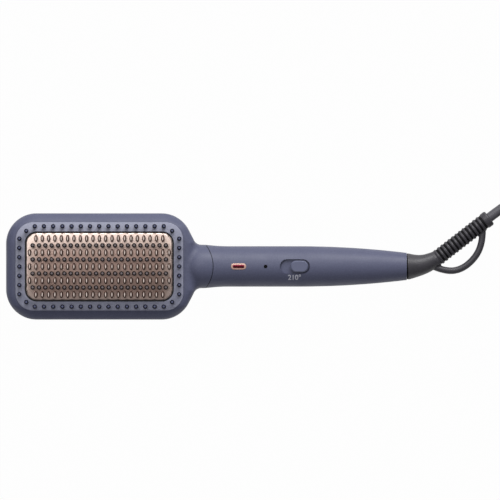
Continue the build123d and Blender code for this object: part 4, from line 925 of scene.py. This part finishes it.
@dataclass
class Electronics(Assembly):
    """Board, its parts, the switch inside and the ioniser."""

    finishes = {
        "control_board": Shades.BOARD, "board_chip": Shades.POTTING, "triac": Shades.POTTING,
        "ion_module": Shades.POTTING, "mains_capacitor": Shades.CAPACITOR,
        "terminal_blocks": Shades.NATURAL, "indicator_led": Shades.LAMP,
        "slide_switch_body": Shades.ACETAL, "switch_slider": Shades.ACETAL,
        "ion_lead": Shades.SLEEVING, "supply_wires": Shades.SLEEVING}


@dataclass
class Swivel(Assembly):
    """Turning joint that feeds the cord's current to the board."""

    finishes = {
        "swivel_journal": Shades.ACETAL, "swivel_bush": Shades.ACETAL,
        "slip_ring_hub": Shades.NATURAL, "slip_rings": Shades.BRASS,
        "contact_springs": Shades.STEEL, "contact_carrier": Shades.NATURAL}


@dataclass
class CordGuard(Assembly):
    """Boot, slotted sleeve and hanging loop in one, in mm. Places are from the handle's end."""

    boot_points: Sequence[Pair] = ((0.8, 0.0), (5.1, 0.2), (11.1, 1.1), (17.0, 3.1), (23.4, 6.8))
    boot_radii: Sequence[float] = (9.9, 8.75, 7.5, 6.6, 5.4)
    # Dark ground, painted shade: in the groove beside the handle and in the sleeve's slots.
    groove_r: float = 9.5
    groove_start: float = 0.12
    groove_width: float = 2.0
    groove_rounding: float = 0.1
    slot_r: float = 5.45
    slot_inset: float = 1.0
    slot_rounding: float = 0.4
    # Sleeve: a core and a web that stands above and below it, ribs and an end collar.
    sleeve: Sequence[Pair] = ((21.9, 5.6), (61.4, 36.3))
    core_r: float = 3.9
    core_inset: float = 0.5
    core_rounding: float = 0.2
    rib_r: float = 6.05
    rib_count: int = 14
    rib_pitch: float = 3.3
    rib_width: float = 1.9
    rib_rounding: float = 0.4
    web: Pair = (3.4, 10.0)
    web_short: float = 2.0
    web_rounding: float = 0.6
    collar_length: float = 5.4
    collar_rounding: float = 1.3
    loop_points: Sequence[Pair] = ((15.0, 2.3), (28.35, -4.54), (44.2, -1.16), (56.8, 14.96),
                                   (56.2, 28.8))
    loop_r: float = 2.5
    # How finely the parts are joined, and how often and how far the joints are softened.
    voxel: float = 0.3
    softening: int = 4
    softening_share: float = 0.5

    def spots(self, places: Sequence[Pair]) -> list[Point]:
        """Places on the level of the handle's axis that are given from the handle's end."""
        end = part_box("handle_front_shell")[1][0] / MM
        return [(end + dx, dy, axis_height()) for dx, dy in places]

    def details(self, nodes: Nodes) -> list[Piece]:
        """Join the parts into one soft-edged moulding."""
        bm = bmesh.new()
        add_bar(bm, self.spots(self.boot_points), self.boot_radii)
        self.add_sleeve(bm)
        add_bar(bm, self.spots(self.loop_points), [self.loop_r] * len(self.loop_points))
        rough = finished_object("cord_guard_form", bm)
        remesh = rough.modifiers.new("join", "REMESH")
        remesh.mode = "VOXEL"
        remesh.voxel_size = self.voxel * MM
        soften = rough.modifiers.new("soften", "SMOOTH")
        soften.factor = self.softening_share
        soften.iterations = self.softening
        graph = bpy.context.evaluated_depsgraph_get()
        joined = bmesh.new()
        joined.from_mesh(bpy.data.meshes.new_from_object(rough.evaluated_get(graph)))
        bpy.data.objects.remove(rough)
        guard = finished_object("cord_guard_moulding", joined, smooth_angle=180.0)
        wear(guard, Shades.GUARD.build())
        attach(guard, Body.CORD_SET.value)
        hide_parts("cord_guard")
        return [guard, self.slot_shade()]

    def slot_shade(self) -> Piece:
        """Dark discs in the sleeve's slots and in the groove beside the handle: painted shade."""
        bm = bmesh.new()
        start, finish = (placed(*spot) for spot in self.spots(self.sleeve))
        along = (finish - start).to_track_quat("Z", "Y").to_matrix().to_4x4()
        add_disc(bm, Matrix.Translation((start + finish) / 2) @ along, self.slot_r,
                 (finish - start).length / MM - 2 * self.slot_inset, self.slot_rounding)
        middle = placed(*self.spots([(self.groove_start + self.groove_width / 2, 0)])[0])
        add_disc(bm, Matrix.Translation(middle) @ Matrix.Rotation(math.radians(90), 4, "Y"),
                 self.groove_r, self.groove_width, self.groove_rounding)
        floor = finished_object("cord_guard_slot_shade", bm)
        wear(floor, Shades.GUARD_SHADE.build())
        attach(floor, Body.CORD_SET.value)
        return floor

    def add_sleeve(self, bm: Mesh) -> None:
        """Add the core, the web over and under it, the ribs and the collar to a mesh."""
        start, finish = (placed(*spot) for spot in self.spots(self.sleeve))
        heading = (finish - start).normalized()
        length = (finish - start).length / MM
        turn = heading.to_track_quat("Z", "Y").to_matrix().to_4x4()

        def at(distance: float) -> Matrix:
            """Frame on the sleeve's axis, so many millimetres from its start."""
            return Matrix.Translation(start + heading * distance * MM) @ turn

        add_disc(bm, at(length / 2), self.core_r, length - 2 * self.core_inset,
                 self.core_rounding)
        web = add_box(bm, at((length - self.web_short) / 2),
                      [side * MM for side in (*self.web, length - self.web_short)])
        round_edges(bm, {edge for vert in web for edge in vert.link_edges},
                    self.web_rounding * MM)
        first = (length - self.collar_length - self.rib_count * self.rib_pitch
                 + self.rib_width / 2)
        for i in range(self.rib_count):
            add_disc(bm, at(first + i * self.rib_pitch), self.rib_r, self.rib_width,
                     self.rib_rounding)
        add_disc(bm, at(length - self.collar_length / 2), self.rib_r, self.collar_length,
                 self.collar_rounding)


# ---- mains cord
@dataclass
class MainsCord(Assembly):
    """The mains lead: from the guard to the floor, into a tied coil, up to the plug, in mm."""

    finishes = {"plug_body": Shades.PLUG, "plug_pins": Shades.PINS}
    radius: float = 3.6
    length: float = 1800.0
    lead: Sequence[Point] = ((210.0, 36.3, 16.2), (224.2, 47.34, 16.2), (241.5, 54.5, 11.8),
                             (261.0, 57.2, 6.2), (280.0, 55.7, 3.6))
    # Coil: its lanes and layers, the degrees wound between points and in all, where it changes
    # lanes and layers, and over how many degrees.
    coil_centre: Pair = (280.0, 6.0)
    lanes: Point = (49.7, 42.5, 35.3)
    layers: Pair = (3.6, 10.8)
    step: float = 22.5
    turned: float = 2115.0
    lane_shifts: Sequence[tuple[float, int]] = ((300.0, 1), (660.0, 1), (1420.0, -1),
                                                (1780.0, -1))
    rise_at: float = 1060.0
    shift_arc: float = 60.0
    # Tail: an arc over the coil, with the share of its climb at each point.
    tail_centre: Pair = (273.49, 12.51)
    tail_reach: float = 41.293
    tail_start: float = 123.75
    tail_climb: float = 10.45
    tail_rises: Sequence[float] = (0.0, 0.31, 0.61, 0.84, 0.97, 1.0, 1.0)
    # Tie: the strap, and the radius and height past which its free end lies on top of it.
    tie_thickness: float = 0.9
    tie_width: float = 12.0
    tie_rounding: float = 4.4
    tie_steps: int = 7
    tie_edge: float = 0.25
    tie_floor: float = 0.05
    lap_ends: Pair = (38.5, 4.0)

    def ease(self, turned: float, start: float) -> float:
        """Share of a lane change that is done after so many degrees of winding."""
        share = min(max((turned - start) / self.shift_arc, 0.0), 1.0)
        return share * share * (3 - 2 * share)

    def coil(self) -> list[Point]:
        """Turns that lie side by side in two layers, wound inwards and then outwards."""
        points = []
        spacing = self.lanes[0] - self.lanes[1]
        turned = self.step / 2
        while turned < self.turned:
            inward = sum(way * self.ease(turned, start) for start, way in self.lane_shifts)
            # Control points lie outside the curve that they draw.
            reach = (self.lanes[0] - spacing * inward) / math.cos(math.radians(self.step / 2))
            climb = (self.layers[1] - self.layers[0]) * self.ease(turned, self.rise_at)
            points.append(on_circle(self.coil_centre, reach, 90.0 - turned,
                                    self.layers[0] + climb))
            turned += self.step
        return points

    def tail(self) -> list[Point]:
        """Off the upper layer and over the turns to the plug."""
        return [on_circle(self.tail_centre, self.tail_reach, self.tail_start - i * self.step,
                          self.layers[1] + share * self.tail_climb)
                for i, share in enumerate(self.tail_rises)]

    def details(self, nodes: Nodes) -> list[Piece]:
        """Lay the cord as one smooth curve and strap its coil."""
        tie = self.tie()
        points = [*self.lead, *self.coil(), *self.tail()]
        cord = new_object("mains_cord", smooth_curve("mains_cord", points, self.radius))
        wear(cord, Shades.CORD.build())
        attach(cord, Body.CORD_SET.value)
        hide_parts("cord_lead", "cord_coil", "cord_tail")
        return [cord, tie]

    def band(self, bm: Mesh, grow: float, ends_at: Pair | None) -> None:
        """Add a strap round the bundle, or the part of one past two planes.

        Args:
            bm: The mesh that gets the strap.
            grow: How far its outside stands off the bundle.
            ends_at: Radius and height past which it is kept, or None for all of it.
        """
        inner = self.lanes[2] - self.radius
        outer = self.lanes[0] + self.radius
        top = self.layers[1] + self.radius + grow
        x_middle = self.coil_centre[0] - (inner + outer) / 2
        size = (outer - inner + 2 * grow, self.tie_width, top - self.tie_floor)
        strap = bmesh.new()
        middle = placed(x_middle, self.coil_centre[1], (top + self.tie_floor) / 2)
        add_box(strap, Matrix.Translation(middle), [side * MM for side in size])
        runs = [edge for edge in strap.edges
                if abs(edge.verts[0].co.y - edge.verts[1].co.y) > self.tie_width * MM / 2]
        round_edges(strap, runs, self.tie_rounding * MM, self.tie_steps)
        sides = [face for face in strap.faces if abs(face.normal.y) > FACING]
        bmesh.ops.delete(strap, geom=sides, context="FACES_ONLY")
        if ends_at:
            for spot, way in ((placed(self.coil_centre[0] - ends_at[0], 0, 0), (1, 0, 0)),
                              (placed(0, 0, ends_at[1]), (0, 0, -1))):
                bmesh.ops.bisect_plane(strap, geom=[*strap.verts, *strap.edges, *strap.faces],
                                       plane_co=spot, plane_no=way, clear_outer=True)
        bmesh.ops.recalc_face_normals(strap, faces=strap.faces)
        outwards = sum(face.normal.dot(face.calc_center_median() - middle)
                       for face in strap.faces)
        inward = self.tie_thickness * MM * (1 if outwards > 0 else -1)
        bmesh.ops.solidify(strap, geom=strap.faces, thickness=inward)
        mesh = bpy.data.meshes.new("strap")
        strap.to_mesh(mesh)
        strap.free()
        bm.from_mesh(mesh)
        bpy.data.meshes.remove(mesh)

    def tie(self) -> Piece:
        """Hook-and-loop strap round the bundle, with its free end lapped over it."""
        bm = bmesh.new()
        self.band(bm, self.tie_thickness, None)
        self.band(bm, 2 * self.tie_thickness, self.lap_ends)
        tie = finished_object("cord_strap", bm)
        edge = tie.modifiers.new("soft_edges", "BEVEL")
        edge.width = self.tie_edge * MM
        edge.segments = 2
        wear(tie, Shades.TIE.build())
        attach(tie, Body.CORD_SET.value)
        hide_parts("cord_tie")
        return tie


def main() -> None:
    """Load the model, dress it and report each piece."""
    logging.basicConfig(level=logging.INFO, format="%(message)s")
    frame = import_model()
    bpy.context.scene.view_settings.view_transform = "Standard"
    Studio().build()
    for assembly in (CordGuard(), MainsCord(), Paddle(), Heater(), Handle(), Electronics(),
                     Swivel()):
        assembly.build(frame["nodes"])


if __name__ == "__main__":
    main()
